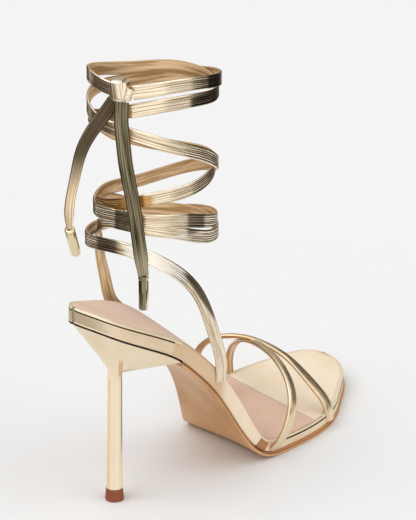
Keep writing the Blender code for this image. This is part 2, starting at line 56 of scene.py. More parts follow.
MIDDLE = np.array((107.35, 2.56, 0.0))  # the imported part's origin, in the shoe's own millimetres

LENGTH = 214.0
GAP = 0.3
BED_THICK = 8.1
BALL_THICK = 5.7
SOLE_THICK = 2.0
TOE_SPRING = 3.0
TOP_CROWN = 0.8
UNDER_CROWN = 0.8
BREAST = 53.3
SOLE_START = 54.1
WAIST_END = 106.0
FLAT_START = 126.0
FLAT_END = 165.0
SPRING_POWER = 1.8
CROWN_RISE, CROWN_FALL = (30, 60), (90, 120)  # where the bed's crown comes in and goes
TILT_RISE, TILT_FALL = (0, 50), (112, 124)  # where the wall starts and stops leaning with the slope
THIN_OUT = (90, 112)  # where the footbed thins towards the ball
LIP_RISE = (100, 125)  # where the sole starts to stand out past the footbed
SOLE_LIP = 0.7
ACROSS = (0.12, 0.3, 0.5, 0.7, 0.88)  # shares of the breadth at which the bed is read between its edges
STRAP_SHARP = 55.0  # degrees from which a strap's edge is sharp


class Slot(Enum):
    """The record's material slots."""

    SOLE = "sole_leather"
    LINING = "lining_leather"
    HEEL = "heel_cover"
    TIP = "top_piece"
    STRAP = "strap_leather"
    METAL = "end_metal"


def ease(low: float, high: float, at: float) -> float:
    """Rise smoothly from 0 at low to 1 at high."""
    part = min(max((at - low) / (high - low), 0.0), 1.0)
    return part * part * (3 - 2 * part)


class Spline:
    """The natural cubic through rows of values."""

    def __init__(self, knots: Sequence[float], values: Sequence[Sequence[float]]) -> None:
        """Fit the spline.

        Args:
            knots: where each row stands, rising.
            values: one row of numbers for each knot.
        """
        self.t = np.asarray(knots, float)
        self.v = np.asarray(values, float)
        self.gap = np.diff(self.t)
        slope = np.diff(self.v, axis=0) / self.gap[:, None]
        matrix = np.eye(len(self.t))
        right = np.zeros_like(self.v)
        for i in range(1, len(self.t) - 1):
            matrix[i, i - 1 : i + 2] = self.gap[i - 1], 2 * (self.gap[i - 1] + self.gap[i]), self.gap[i]
            right[i] = 6 * (slope[i] - slope[i - 1])
        self.bend = np.linalg.solve(matrix, right)

    def read(self, at: float) -> np.ndarray:
        """Return the row of values at a place."""
        i = int(np.clip(np.searchsorted(self.t, at) - 1, 0, len(self.gap) - 1))
        near, far, gap = at - self.t[i], self.t[i + 1] - at, self.gap[i]
        cubic = (self.bend[i] * far**3 + self.bend[i + 1] * near**3) / (6 * gap)
        low = (self.v[i] / gap - self.bend[i] * gap / 6) * far
        high = (self.v[i + 1] / gap - self.bend[i + 1] * gap / 6) * near
        return cubic + low + high


def through(points: Sequence[Sequence[float]]) -> tuple[Spline, float]:
    """Return a spline through points by the straight distance between them, and its whole length."""
    lengths = [0.0]
    for before, after in zip(points, points[1:]):
        lengths.append(lengths[-1] + math.dist(before[:3], after[:3]))
    return Spline(lengths, points), lengths[-1]


def unit(v: np.ndarray) -> np.ndarray:
    """Return the vector at length one."""
    return v / max(float(np.linalg.norm(v)), 1e-12)


# ---- Modelling ----


def deselect() -> None:
    """Leave nothing selected."""
    if bpy.context.mode != "OBJECT":
        bpy.ops.object.mode_set(mode="OBJECT")
    bpy.ops.object.select_all(action="DESELECT")


def named(name: str) -> bpy.types.Object:
    """Name the piece just added, and its mesh, and return it."""
    piece = bpy.context.object
    piece.name = piece.data.name = name
    return piece


def inside_out(mesh: bpy.types.Mesh) -> bool:
    """Return whether a closed mesh in edit mode holds less than nothing."""
    return bmesh.from_edit_mesh(mesh).calc_volume(signed=True) < 0


def grid_skin(
    name: str,
    rings: Sequence[Sequence[Sequence[float]]],
    loop: bool = True,
    caps: bool = True,
    marks: Callable[[int, int], int] | None = None,
    uv_size: tuple[float, float] = (1.0, 1.0),
    sharp: float = 40.0,
) -> bpy.types.Object:
    """Shape a grid into a skin through sections, and close it.

    Args:
        name: the piece's name.
        rings: sections of equal count, in millimetres.
        loop: whether each section closes on itself.
        caps: whether both ends are closed.
        marks: gives the material number of the face at (section, place).
        uv_size: the length and breadth that the UV map spans, in metres.
        sharp: the angle in degrees from which an edge is sharp.

    Returns:
        The piece, with its place in its mesh.
    """
    deselect()
    rows = np.asarray(rings, float)
    count = rows.shape[0]
    if loop:
        rows = np.concatenate([rows, rows[:, :1]], axis=1)
    wide = rows.shape[1]
    bpy.ops.mesh.primitive_grid_add(x_subdivisions=wide - 1, y_subdivisions=count - 1, size=1.0)
    piece = named(name)
    mesh = piece.data
    mesh.vertices.foreach_set("co", ((rows - MIDDLE) * MM).reshape(-1).astype(np.float32))
    layer = mesh.uv_layers.active or mesh.uv_layers.new(name="along")
    layer.name = "along"
    index = np.empty(len(mesh.loops), np.int32)
    mesh.loops.foreach_get("vertex_index", index)
    uv = np.stack([index // wide / (count - 1) * uv_size[0], index % wide / (wide - 1) * uv_size[1]], 1)
    layer.data.foreach_set("uv", uv.reshape(-1).astype(np.float32))
    if marks is not None:
        numbers = []
        for face in mesh.polygons:
            low = min(face.vertices)
            numbers.append(marks(low // wide, low % wide))
        mesh.polygons.foreach_set("material_index", np.asarray(numbers, np.int32))
    mesh.update()
    bpy.ops.object.mode_set(mode="EDIT")
    bpy.ops.mesh.select_all(action="SELECT")
    bpy.ops.mesh.remove_doubles(threshold=2e-6)
    if caps:
        bpy.ops.mesh.select_all(action="DESELECT")
        bpy.ops.mesh.select_mode(type="EDGE")
        bpy.ops.mesh.select_non_manifold(extend=False)
        bpy.ops.mesh.fill_holes(sides=0)
    bpy.ops.mesh.select_mode(type="FACE")
    bpy.ops.mesh.select_all(action="SELECT")
    bpy.ops.mesh.normals_make_consistent(inside=False)
    if loop and inside_out(mesh):
        bpy.ops.mesh.flip_normals()
    bpy.ops.object.mode_set(mode="OBJECT")
    bpy.ops.object.shade_smooth_by_angle(angle=math.radians(sharp))
    return piece


def turned(
    name: str,
    start: Sequence[float],
    axis: Sequence[float],
    levels: Sequence[tuple[float, float]],
    sides: int,
    sharp: float,
) -> bpy.types.Object:
    """Turn a round piece: a filled circle, extruded and resized from level to level.

    Args:
        name: the piece's name.
        start: the point that distances count from, in millimetres.
        axis: the way it runs, at length one.
        levels: distance along the axis and radius, in order.
        sides: how many sides it has round.
        sharp: the angle in degrees from which an edge is sharp.

    Returns:
        The piece, with its place in its mesh.
    """
    deselect()
    way = Vector(axis)
    origin = Vector((np.asarray(start, float) - MIDDLE) * MM)
    along, radius = levels[0]
    bpy.ops.mesh.primitive_circle_add(
        vertices=sides, radius=radius * MM, fill_type="NGON",
        location=origin + way * along * MM, rotation=way.to_track_quat("Z", "Y").to_euler(),
    )
    piece = named(name)
    bpy.ops.object.transform_apply(location=True, rotation=True, scale=True)
    bpy.ops.object.mode_set(mode="EDIT")
    bpy.ops.mesh.select_all(action="SELECT")
    for before, after in zip(levels, levels[1:]):
        bpy.ops.mesh.extrude_region_move(TRANSFORM_OT_translate={"value": way * (after[0] - before[0]) * MM})
        size = after[1] / before[1]
        bpy.ops.transform.resize(value=(size, size, size), center_override=origin + way * after[0] * MM)
    bpy.ops.mesh.select_all(action="SELECT")
    bpy.ops.mesh.normals_make_consistent(inside=False)
    bpy.ops.object.mode_set(mode="OBJECT")
    bpy.ops.object.shade_smooth_by_angle(angle=math.radians(sharp))
    return piece


def dress(piece: bpy.types.Object, slot: Slot, *finishes: bpy.types.Material) -> bpy.types.Object:
    """Give a piece its materials and its body, and report it."""
    for finish in finishes:
        piece.data.materials.append(finish)
    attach(piece, BODY)
    LOG.info("%s: %d faces", piece.name, len(piece.data.polygons))
    return piece


def thicken(piece: bpy.types.Object, thickness: float, offset: float) -> None:
    """Give a sheet its wall with an applied Solidify."""
    deselect()
    piece.select_set(True)
    bpy.context.view_layer.objects.active = piece
    wall = piece.modifiers.new("wall", "SOLIDIFY")
    wall.thickness = thickness * MM
    wall.offset = offset
    bpy.ops.object.modifier_apply(modifier=wall.name)


# ---- Finishes ----


class Nodes:
    """Short ways to add and join shader nodes in one tree."""

    def __init__(self, tree: bpy.types.NodeTree) -> None:
        """Work in a node tree."""
        self.tree = tree

    def add(self, kind: str, inputs: dict | None = None, **settings: object) -> bpy.types.Node:
        """Add a node, set its own settings and its inputs, and join inputs that are sockets."""
        node = self.tree.nodes.new(kind)
        for key, value in settings.items():
            setattr(node, key, value)
        for key, value in (inputs or {}).items():
            if isinstance(value, bpy.types.NodeSocket):
                self.tree.links.new(value, node.inputs[key])
            else:
                node.inputs[key].default_value = value
        return node

    def math(self, operation: str, a: object, b: object = 0.0) -> bpy.types.NodeSocket:
        """Return the result of a sum on two values."""
        return self.add("ShaderNodeMath", {0: a, 1: b}, operation=operation).outputs[0]

    def mix(self, part: object, low: object, high: object) -> bpy.types.NodeSocket:
        """Return a colour between two, by part."""
        node = self.add("ShaderNodeMix", {0: part, 6: low, 7: high}, data_type="RGBA")
        return node.outputs[2]

    def span(
        self, value: object, low: float, high: float, out_low: float = 0.0, out_high: float = 1.0
    ) -> bpy.types.NodeSocket:
        """Return a value moved from one range to another, kept within it."""
        node = self.add("ShaderNodeMapRange", {0: value, 1: low, 2: high, 3: out_low, 4: out_high})
        return node.outputs[0]

    def noise(self, place: object, scale: object, detail: float, rough: float = 0.5) -> bpy.types.NodeSocket:
        """Return soft noise read at a place."""
        inputs = {"Vector": place, "Scale": scale, "Detail": detail, "Roughness": rough}
        return self.add("ShaderNodeTexNoise", inputs).outputs[0]


def make_group(
    name: str, inputs: Sequence[tuple], outputs: Sequence[tuple]
) -> tuple[bpy.types.NodeTree, Nodes, bpy.types.Node, bpy.types.Node]:
    """Make an empty shader group with its sockets.

    Args:
        name: the group's name.
        inputs: each input's title, kind and plain value.
        outputs: each output's title and kind.

    Returns:
        The group, its nodes, and the two nodes that hold its inputs and its outputs.
    """
    tree = bpy.data.node_groups.new(name, "ShaderNodeTree")
    for title, kind, value in inputs:
        socket = tree.interface.new_socket(title, in_out="INPUT", socket_type=kind)
        socket.default_value = value
    for title, kind in outputs:
        tree.interface.new_socket(title, in_out="OUTPUT", socket_type=kind)
    nodes = Nodes(tree)
    return tree, nodes, nodes.add("NodeGroupInput"), nodes.add("NodeGroupOutput")


FLOAT = "NodeSocketFloat"
WRINKLE_SCALE = (260.0, 2.0)  # of the cross wrinkles, along a strap in metres and once across its section
WRINKLE_SHARE = 0.25  # how much they add to the folds
FINE_SHARE = 0.5  # how much fine noise adds to the grain


def pleat_group() -> bpy.types.NodeTree:
    """Fine lengthwise creases and cross wrinkles of folded leather, read along a strap's own UV map."""
    tree, nodes, given, out = make_group(
        "folded_leather",
        (("Creases", FLOAT, 9.0), ("Stretch", FLOAT, 22.0)),
        (("Height", FLOAT), ("Streaks and Crease Shade", FLOAT)),
    )
    uv = nodes.add("ShaderNodeUVMap", uv_map="along").outputs[0]
    parts = nodes.add("ShaderNodeSeparateXYZ", {0: uv})
    along = nodes.math("MULTIPLY", parts.outputs[0], given.outputs["Stretch"])
    across = nodes.math("MULTIPLY", parts.outputs[1], given.outputs["Creases"])
    place = nodes.add("ShaderNodeCombineXYZ", {0: along, 1: across, 2: 0.0}).outputs[0]
    streak = nodes.noise(place, 1.0, 3.0, 0.6)
    wide = nodes.math("MULTIPLY", parts.outputs[0], WRINKLE_SCALE[0])
    thin = nodes.math("MULTIPLY", parts.outputs[1], WRINKLE_SCALE[1])
    other = nodes.add("ShaderNodeCombineXYZ", {0: wide, 1: thin, 2: 4.0}).outputs[0]
    wrinkle = nodes.noise(other, 1.0, 2.0)
    total = nodes.math("ADD", streak, nodes.math("MULTIPLY", wrinkle, WRINKLE_SHARE))
    nodes.tree.links.new(total, out.inputs["Height"])
    # the same streaks set the colour, darker in the creases' hollows: partly painted shade, partly the
    # leather's streaky tone
    nodes.tree.links.new(streak, out.inputs["Streaks and Crease Shade"])
    return tree


def grain_group() -> bpy.types.NodeTree:
    """Small pebbled grain with a slow drift of tone, on the piece's own place."""
    tree, nodes, given, out = make_group(
        "leather_grain",
        (("Scale", FLOAT, 1600.0), ("Drift Scale", FLOAT, 40.0)),
        (("Height", FLOAT), ("Drift", FLOAT)),
    )
    place = nodes.add("ShaderNodeTexCoord").outputs["Object"]
    spots = {"Vector": place, "Scale": given.outputs["Scale"]}
    cells = nodes.add("ShaderNodeTexVoronoi", spots, feature="F1")
    fine = nodes.noise(place, given.outputs["Scale"], 2.0)
    height = nodes.math("ADD", cells.outputs[0], nodes.math("MULTIPLY", fine, FINE_SHARE))
    drift = nodes.noise(place, given.outputs["Drift Scale"], 2.0)
    nodes.tree.links.new(height, out.inputs["Height"])
    nodes.tree.links.new(drift, out.inputs["Drift"])
    return tree


def shade_group() -> bpy.types.NodeTree:
    """A soft share from 0 to 1 between two distances along a way through the piece's own place."""
    tree, nodes, given, out = make_group(
        "soft_shade",
        (("Way", "NodeSocketVector", (0.0, 0.0, 1.0)), ("Low", FLOAT, 0.0), ("High", FLOAT, 1.0)),
        (("Part", FLOAT),),
    )
    place = nodes.add("ShaderNodeTexCoord").outputs["Object"]
    pair = {0: place, 1: given.outputs["Way"]}
    along = nodes.add("ShaderNodeVectorMath", pair, operation="DOT_PRODUCT").outputs["Value"]
    ends = {0: along, 1: given.outputs["Low"], 2: given.outputs["High"]}
    part = nodes.add("ShaderNodeMapRange", ends, interpolation_type="SMOOTHSTEP")
    nodes.tree.links.new(part.outputs[0], out.inputs["Part"])
    return tree


DRIFT = (0.2, 0.8)  # the span of tone over which roughness drifts
ROUGHER, SMOOTHER = 0.06, 0.04  # how far it drifts either way
COAT_ROUGH = 0.12

Way = tuple[float, float, float]
Bound = tuple[Way, float, float]


def between(way: Way, start: float, full: float, last: float, end: float) -> tuple[Bound, Bound]:
    """Bound a tone on both sides: it starts, is full as far as last, and ends."""
    return (way, start, full), (way, end, last)


@dataclass(frozen=True)
class Shade:
    """A tone that comes in softly between bounds; each one in this script paints light, shade or reflections
    onto a finish.

    Attributes:
        tone: the colour, linear.
        most: its greatest share.
        bounds: each a way through the shoe at length one, the distance along it in the shoe's own
            millimetres at which the tone starts, and the one at which it is full.
    """

    tone: tuple[float, float, float]
    most: float
    bounds: tuple[Bound, ...]

    def lay(
        self, nodes: Nodes, group: bpy.types.NodeTree, colour: bpy.types.NodeSocket
    ) -> bpy.types.NodeSocket:
        """Return the colour with this tone laid over it.

        Args:
            nodes: the material's nodes.
            group: the shared shade group.
            colour: the colour under it.

        Returns:
            The mixed colour.
        """
        share = self.most
        for way, start, full in self.bounds:
            shift = float(np.dot(way, MIDDLE))
            made = nodes.add("ShaderNodeGroup", node_tree=group)
            made.inputs["Way"].default_value = way
            made.inputs["Low"].default_value = (min(start, full) - shift) * MM
            made.inputs["High"].default_value = (max(start, full) - shift) * MM
            part = made.outputs["Part"]
            if full < start:
                part = nodes.math("SUBTRACT", 1.0, part)
            share = nodes.math("MULTIPLY", part, share)
        return nodes.mix(share, colour, (*self.tone, 1.0))


def new_material(name: str) -> tuple[bpy.types.Material, bpy.types.Node]:
    """Make a material and return it with its main shader."""
    made = bpy.data.materials.new(name)
    made.use_nodes = True
    return made, made.node_tree.nodes["Principled BSDF"]


@dataclass(frozen=True)
class Finish:
    """A leather or hard finish: two tones with relief.

    Attributes:
        name: the material's name.
        light: the lighter tone, linear.
        dark: the darker tone, linear.
        metallic: share of metal.
        rough: roughness.
        relief: strength of the bump.
        depth: height of the bump in metres.
        scale: grain cells to a metre.
        coat: a clear coat over it.
        creases: creases across a strap; 0 uses grain on the piece's own place.
        contrast: the values of the grain's drift, or of a strap's streaks and crease shade, that give the
            dark and the light tone.
        specular: strength of the plain reflection.
        shades: painted light, shade and reflections laid over it in order.
    """

    name: str
    light: tuple[float, float, float]
    dark: tuple[float, float, float]
    metallic: float = 0.0
    rough: float = 0.5
    relief: float = 0.3
    depth: float = 0.0001
    scale: float = 1600.0
    coat: float = 0.0
    creases: float = 0.0
    contrast: tuple[float, float] = (0.36, 0.6)
    specular: float = 0.5
    shades: tuple[Shade, ...] = ()

    def build(self, groups: dict[str, bpy.types.NodeTree]) -> bpy.types.Material:
        """Make the material.

        Args:
            groups: the shared shader groups by name.

        Returns:
            The material.
        """
        made, shader = new_material(self.name)
        nodes = Nodes(made.node_tree)
        if self.creases:
            group = nodes.add("ShaderNodeGroup", node_tree=groups["folds"])
            group.inputs["Creases"].default_value = self.creases
            # on straps the colour follows the streaks: partly painted shade in the creases, partly the
            # leather's streaky tone
            tone = group.outputs["Streaks and Crease Shade"]
        else:
            group = nodes.add("ShaderNodeGroup", node_tree=groups["grain"])
            group.inputs["Scale"].default_value = self.scale
            tone = group.outputs["Drift"]
        part = nodes.span(tone, *self.contrast)
        colour = nodes.mix(part, (*self.dark, 1.0), (*self.light, 1.0))
        for shade in self.shades:
            colour = shade.lay(nodes, groups["shade"], colour)
        made.node_tree.links.new(colour, shader.inputs["Base Color"])
        rough = nodes.span(tone, *DRIFT, self.rough + ROUGHER, self.rough - SMOOTHER)
        made.node_tree.links.new(rough, shader.inputs["Roughness"])
        shader.inputs["Metallic"].default_value = self.metallic
        shader.inputs["Specular IOR Level"].default_value = self.specular
        shader.inputs["Coat Weight"].default_value = self.coat
        shader.inputs["Coat Roughness"].default_value = COAT_ROUGH
        relief = {"Height": group.outputs["Height"], "Strength": self.relief, "Distance": self.depth}
        bump = nodes.add("ShaderNodeBump", relief)
        made.node_tree.links.new(bump.outputs[0], shader.inputs["Normal"])
        return made


AHEAD, UP, OUTWARD = (1.0, 0.0, 0.0), (0.0, 0.0, 1.0), (0.0, -1.0, 0.0)
# The way to the right, and a slanting one, as the main camera sees the shoe. Tones laid along them paint
# highlights and dark reflections as they look from there, which gloss and lights should give instead.
# They stay fixed to the shoe, so from other sides they are patches that no light explains.
RIGHT, SLANT = (0.679, -0.734, -0.0164), (0.6, -0.65, 0.468)
STEM = 26.5 * RIGHT[0]  # the heel's stem, along the way to the right



def rightward(*places: float) -> tuple[Bound, Bound]:
    """Bound a tone along the way to the right."""
    return between(RIGHT, *places)


def upward(*places: float) -> tuple[Bound, Bound]:
    """Bound a tone by height."""
    return between(UP, *places)


TIE_PAINTED_LIGHT = (
    # the first wrap: a painted dark reflection at its left end, then a painted white highlight down to the
    # lower run
    Shade((0.06, 0.04, 0.02), 0.85, rightward(8.5, 10.5, 17.0, 20.5) + upward(121.0, 124.0, 136.0, 137.5)),
    Shade((1.0, 0.96, 0.87), 0.85, rightward(20.0, 24.0, 48.0, 54.0) + upward(110.0, 116.0, 135.5, 137.0)),
    # a painted dark reflection along the upper half of the lower run
    Shade((0.05, 0.03, 0.015), 0.88, ((SLANT, 99.3, 100.8), *upward(83.0, 92.0, 115.0, 120.0))),
    # the second wrap: painted dark reflections beside the tail and near its right end
    Shade((0.06, 0.04, 0.02), 0.86, rightward(16.8, 18.4, 28.0, 31.0) + upward(138.0, 140.0, 149.0, 149.6)),
    Shade((0.07, 0.045, 0.02), 0.8, rightward(49.5, 52.0, 58.0, 60.0) + upward(134.0, 136.5, 148.6, 149.6)),
    # the turn behind it carries a painted orange reflection
    Shade((0.52, 0.26, 0.06), 0.85, ((RIGHT, 36.0, 33.0), *upward(149.0, 149.7, 156.0, 157.5))),
    # painted dark reflections on the right ends of the upper wraps
    Shade((0.03, 0.02, 0.012), 0.92, ((RIGHT, 58.5, 60.5), (UP, 199.2, 200.2))),
    Shade((0.05, 0.035, 0.018), 0.85, ((RIGHT, 50.0, 53.0), *upward(188.0, 190.0, 199.2, 200.2))),
)

HEEL_PAINTED_LIGHT = (
    # a painted orange-tan reflection down the left side of the stem, below the neck
    Shade((0.82, 0.55, 0.26), 0.85, ((RIGHT, STEM - 1.5, STEM - 3.1), (UP, 66.0, 61.0))),
    # painted shade: the funnel and seat are darker tan on their left side
    Shade((0.8, 0.6, 0.36), 0.55, ((RIGHT, STEM - 1.0, STEM - 9.0), (UP, 62.0, 72.0))),
    # a painted dark reflection down the stem's right edge, from about a third of the way up to the neck
    Shade((0.2, 0.1, 0.04), 0.85, ((RIGHT, STEM + 2.5, STEM + 3.3), *upward(18.0, 36.0, 63.0, 68.0))),
    # a painted pale highlight down the stem, just right of its middle
    Shade(
        (0.99, 0.9, 0.72), 0.6,
        (*rightward(STEM - 0.2, STEM + 0.8, STEM + 1.4, STEM + 2.2), (UP, 66.0, 60.0)),
    ),
    # a painted tan reflection where the stem turns into the funnel, on its right
    Shade(
        (0.7, 0.4, 0.16), 0.75,
        rightward(STEM + 1.2, STEM + 2.0, STEM + 3.2, STEM + 4.0) + upward(62.0, 66.0, 72.0, 77.0),
    ),
)


def strap_finishes() -> tuple[Finish, ...]:
    """Return the finishes of the ties, their ends and the toe straps."""
    return (
        Finish(
            "gold_outside", (0.96, 0.85, 0.67), (0.36, 0.24, 0.11), 1.0, 0.22, 0.35, 0.00007,
            creases=13.0, contrast=(0.38, 0.54), shades=TIE_PAINTED_LIGHT,
        ),
        Finish(
            "gold_tail", (0.94, 0.8, 0.6), (0.66, 0.48, 0.27), 1.0, 0.27, 0.35, 0.00007, creases=9.0,
            # painted dark reflection: the tail is near-black just under the knot, fading out by 160 mm up
            shades=(Shade((0.05, 0.035, 0.02), 0.93, ((UP, 160.0, 182.0),)),),
        ),
        # the same gold leather, with a painted dark reflection as the second tail looks from the main camera,
        # lighter towards its lower end
        Finish(
            "gold_shaded", (0.34, 0.3, 0.19), (0.05, 0.04, 0.02), 1.0, 0.3, 0.4, 0.00008,
            creases=15.0, contrast=(0.42, 0.62),
            shades=(Shade((0.7, 0.6, 0.42), 0.4, ((UP, 140.0, 124.0),)),),
        ),
        Finish(
            "tan_inside", (0.86, 0.64, 0.4), (0.42, 0.25, 0.1), 0.45, 0.42, 0.4, 0.00008,
            creases=11.0, contrast=(0.42, 0.56),
        ),
        Finish("tie_edge", (0.62, 0.42, 0.22), (0.4, 0.24, 0.1), 0.3, 0.45, 0.2, 0.00005, creases=3.0),
        Finish("toe_gold", (0.94, 0.8, 0.58), (0.78, 0.6, 0.37), 0.95, 0.27, 0.25, 0.00006, creases=6.0),
        Finish("toe_edge", (0.56, 0.27, 0.1), (0.42, 0.19, 0.07), 0.15, 0.45, 0.2, 0.00005, creases=3.0),
    )


def bed_finishes() -> tuple[Finish, ...]:
    """Return the finishes of the wrapped edge, the heel, the lining and the sole."""
    return (
        Finish(
            "edge_gold", (0.9, 0.73, 0.52), (0.78, 0.6, 0.4), 0.2, 0.4, 0.5, 0.00009, 1500.0,
            shades=(
                # painted shade: the wrapped edge darkens towards the heel's back
                Shade((0.3, 0.22, 0.12), 0.6, ((AHEAD, 14.0, 2.0),)),
                # painted orange reflection and shade on the outer side, where the edge tucks in at the outer
                # tie's root
                Shade(
                    (0.62, 0.36, 0.14), 0.7, (*between(AHEAD, 60.0, 67.0, 74.0, 79.0), (OUTWARD, 8.0, 14.0)),
                ),
            ),
        ),
        Finish(
            "side_gold", (0.99, 0.84, 0.64), (0.92, 0.76, 0.55), 0.12, 0.4, 0.4, 0.00007, 1500.0,
            # painted orange reflection and shade at the back end of the side's wrap, by the outer tie's root
            shades=(Shade((0.62, 0.36, 0.14), 0.6, ((AHEAD, 80.0, 73.0),)),),
        ),
        # the same gold leather, with a grey reflection painted on the inner lip as it looks from the main
        # camera
        Finish("inner_lip_painted_reflection", (0.42, 0.42, 0.45), (0.34, 0.33, 0.36), 0.6, 0.35, 0.1, 0.00004, 1500.0),
        Finish("lip_gold", (0.97, 0.85, 0.63), (0.88, 0.73, 0.5), 0.3, 0.3, 0.15, 0.00005, 1800.0),
        Finish(
            "heel_gold", (0.97, 0.82, 0.58), (0.93, 0.77, 0.53), 0.12, 0.2, 0.04, 0.00003, 900.0, 0.5,
            shades=HEEL_PAINTED_LIGHT,
        ),
        # painted light: the lining is lighter towards the heel, a soft highlight where the bed is steep
        Finish(
            "lining_nude", (0.73, 0.52, 0.4), (0.64, 0.44, 0.33), 0.0, 0.6, 0.25, 0.00006, 2200.0,
            specular=0.35, shades=(Shade((0.9, 0.7, 0.57), 0.6, ((AHEAD, 90.0, 30.0),)),),
        ),
        Finish("forefoot_gold", (0.91, 0.78, 0.6), (0.85, 0.71, 0.52), 0.08, 0.42, 0.25, 0.00005, 1500.0),
        # painted light: the sole is lighter high up towards the heel, and lighter near the floor
        Finish(
            "sole_tan", (0.6, 0.31, 0.11), (0.53, 0.26, 0.09), 0.0, 0.45, 0.06, 0.00004, 200.0, 0.1,
            shades=(
                Shade((0.74, 0.46, 0.25), 0.8, ((UP, 40.0, 78.0),)),
                Shade((0.8, 0.45, 0.2), 0.7, ((UP, 26.0, 3.0),)),
            ),
        ),
        Finish(
            "sole_edge", (0.42, 0.15, 0.04), (0.26, 0.085, 0.02), 0.0, 0.4, 0.1, 0.00004, 900.0, 0.1,
            specular=0.3,
        ),
        # near-black: painted shade in the groove under the lip and at the heel's seat, and a painted dark
        # reflection near the toe
        Finish(
            "groove_dark", (0.045, 0.02, 0.01), (0.025, 0.01, 0.005), 0.0, 0.8, 0.1, 0.00004, specular=0.05
        ),
        Finish(
            "tip_brown", (0.31, 0.09, 0.034), (0.25, 0.068, 0.026), 0.0, 0.5, 0.2, 0.00006, 1400.0,
            specular=0.3,
        ),
    )


def end_finishes() -> tuple[Finish, ...]:
    """Return the finishes of the metal ends and the knot."""
    return (
        Finish(
            "end_metal_gold", (0.92, 0.82, 0.62), (0.8, 0.66, 0.42), 1.0, 0.14, 0.05, 0.00003, 700.0,
            shades=(
                # painted dark reflections on both sides of the lower end, with one pale stripe between them
                Shade((0.11, 0.11, 0.07), 0.85, ((RIGHT, 32.3, 31.2), (RIGHT, 25.0, 27.0))),
                Shade((0.11, 0.11, 0.07), 0.85, ((RIGHT, 33.2, 34.2),)),
            ),
        ),
        Finish(
            "knot_gold", (0.99, 0.93, 0.79), (0.66, 0.5, 0.3), 1.0, 0.26, 0.2, 0.00002,
            creases=3.0, contrast=(0.3, 0.62),
        ),
    )


class Finishes:
    """Every finish of the shoe, built once."""

    def __init__(self) -> None:
        """Build the groups and the materials."""
        groups = {"folds": pleat_group(), "grain": grain_group(), "shade": shade_group()}
        rows = strap_finishes() + bed_finishes() + end_finishes()
        self.by_name = {row.name: row.build(groups) for row in rows}

    def __getitem__(self, name: str) -> bpy.types.Material:
        """Return a finish by name."""
        return self.by_name[name]


# ---- The bed's form ----

# This table and those of the ties, toe straps and tails repeat the part's. Most of their rows began as
# positions printed by other programs and were then changed, so they are data and not design.

# Distance from the heel, breadths to the outer and inner side, heights of the outer and inner top edge
SECTIONS = (
    (0, 0, 0, 107, 107), (4, 9.3, 6.1, 104, 105.5), (12, 15.3, 12.4, 99.3, 102.7),
    (24, 20, 17, 93.2, 98.3), (38, 22.5, 19.5, 86.2, 93.8), (52, 24, 20, 77.7, 88.3),
    (66, 25, 19, 65.3, 79.5), (80, 26, 16.5, 50, 66), (94, 27.5, 15, 28.7, 46.5),
    (106, 29, 21.2, 11.4, 23), (116, 30, 28.8, 8.3, 10.5), (130, 31, 34, 8, 8),
    (148, 30.5, 39.5, 8, 8.2), (166, 26, 41.5, 8, 8.5), (184, 16.3, 38.2, 8.5, 9.2),
    (199, 7.2, 33.3, 9.3, 10.3), (209, -2.5, 27.5, 10, 11), (214, -16.5, 16.5, 10.8, 10.8),
)


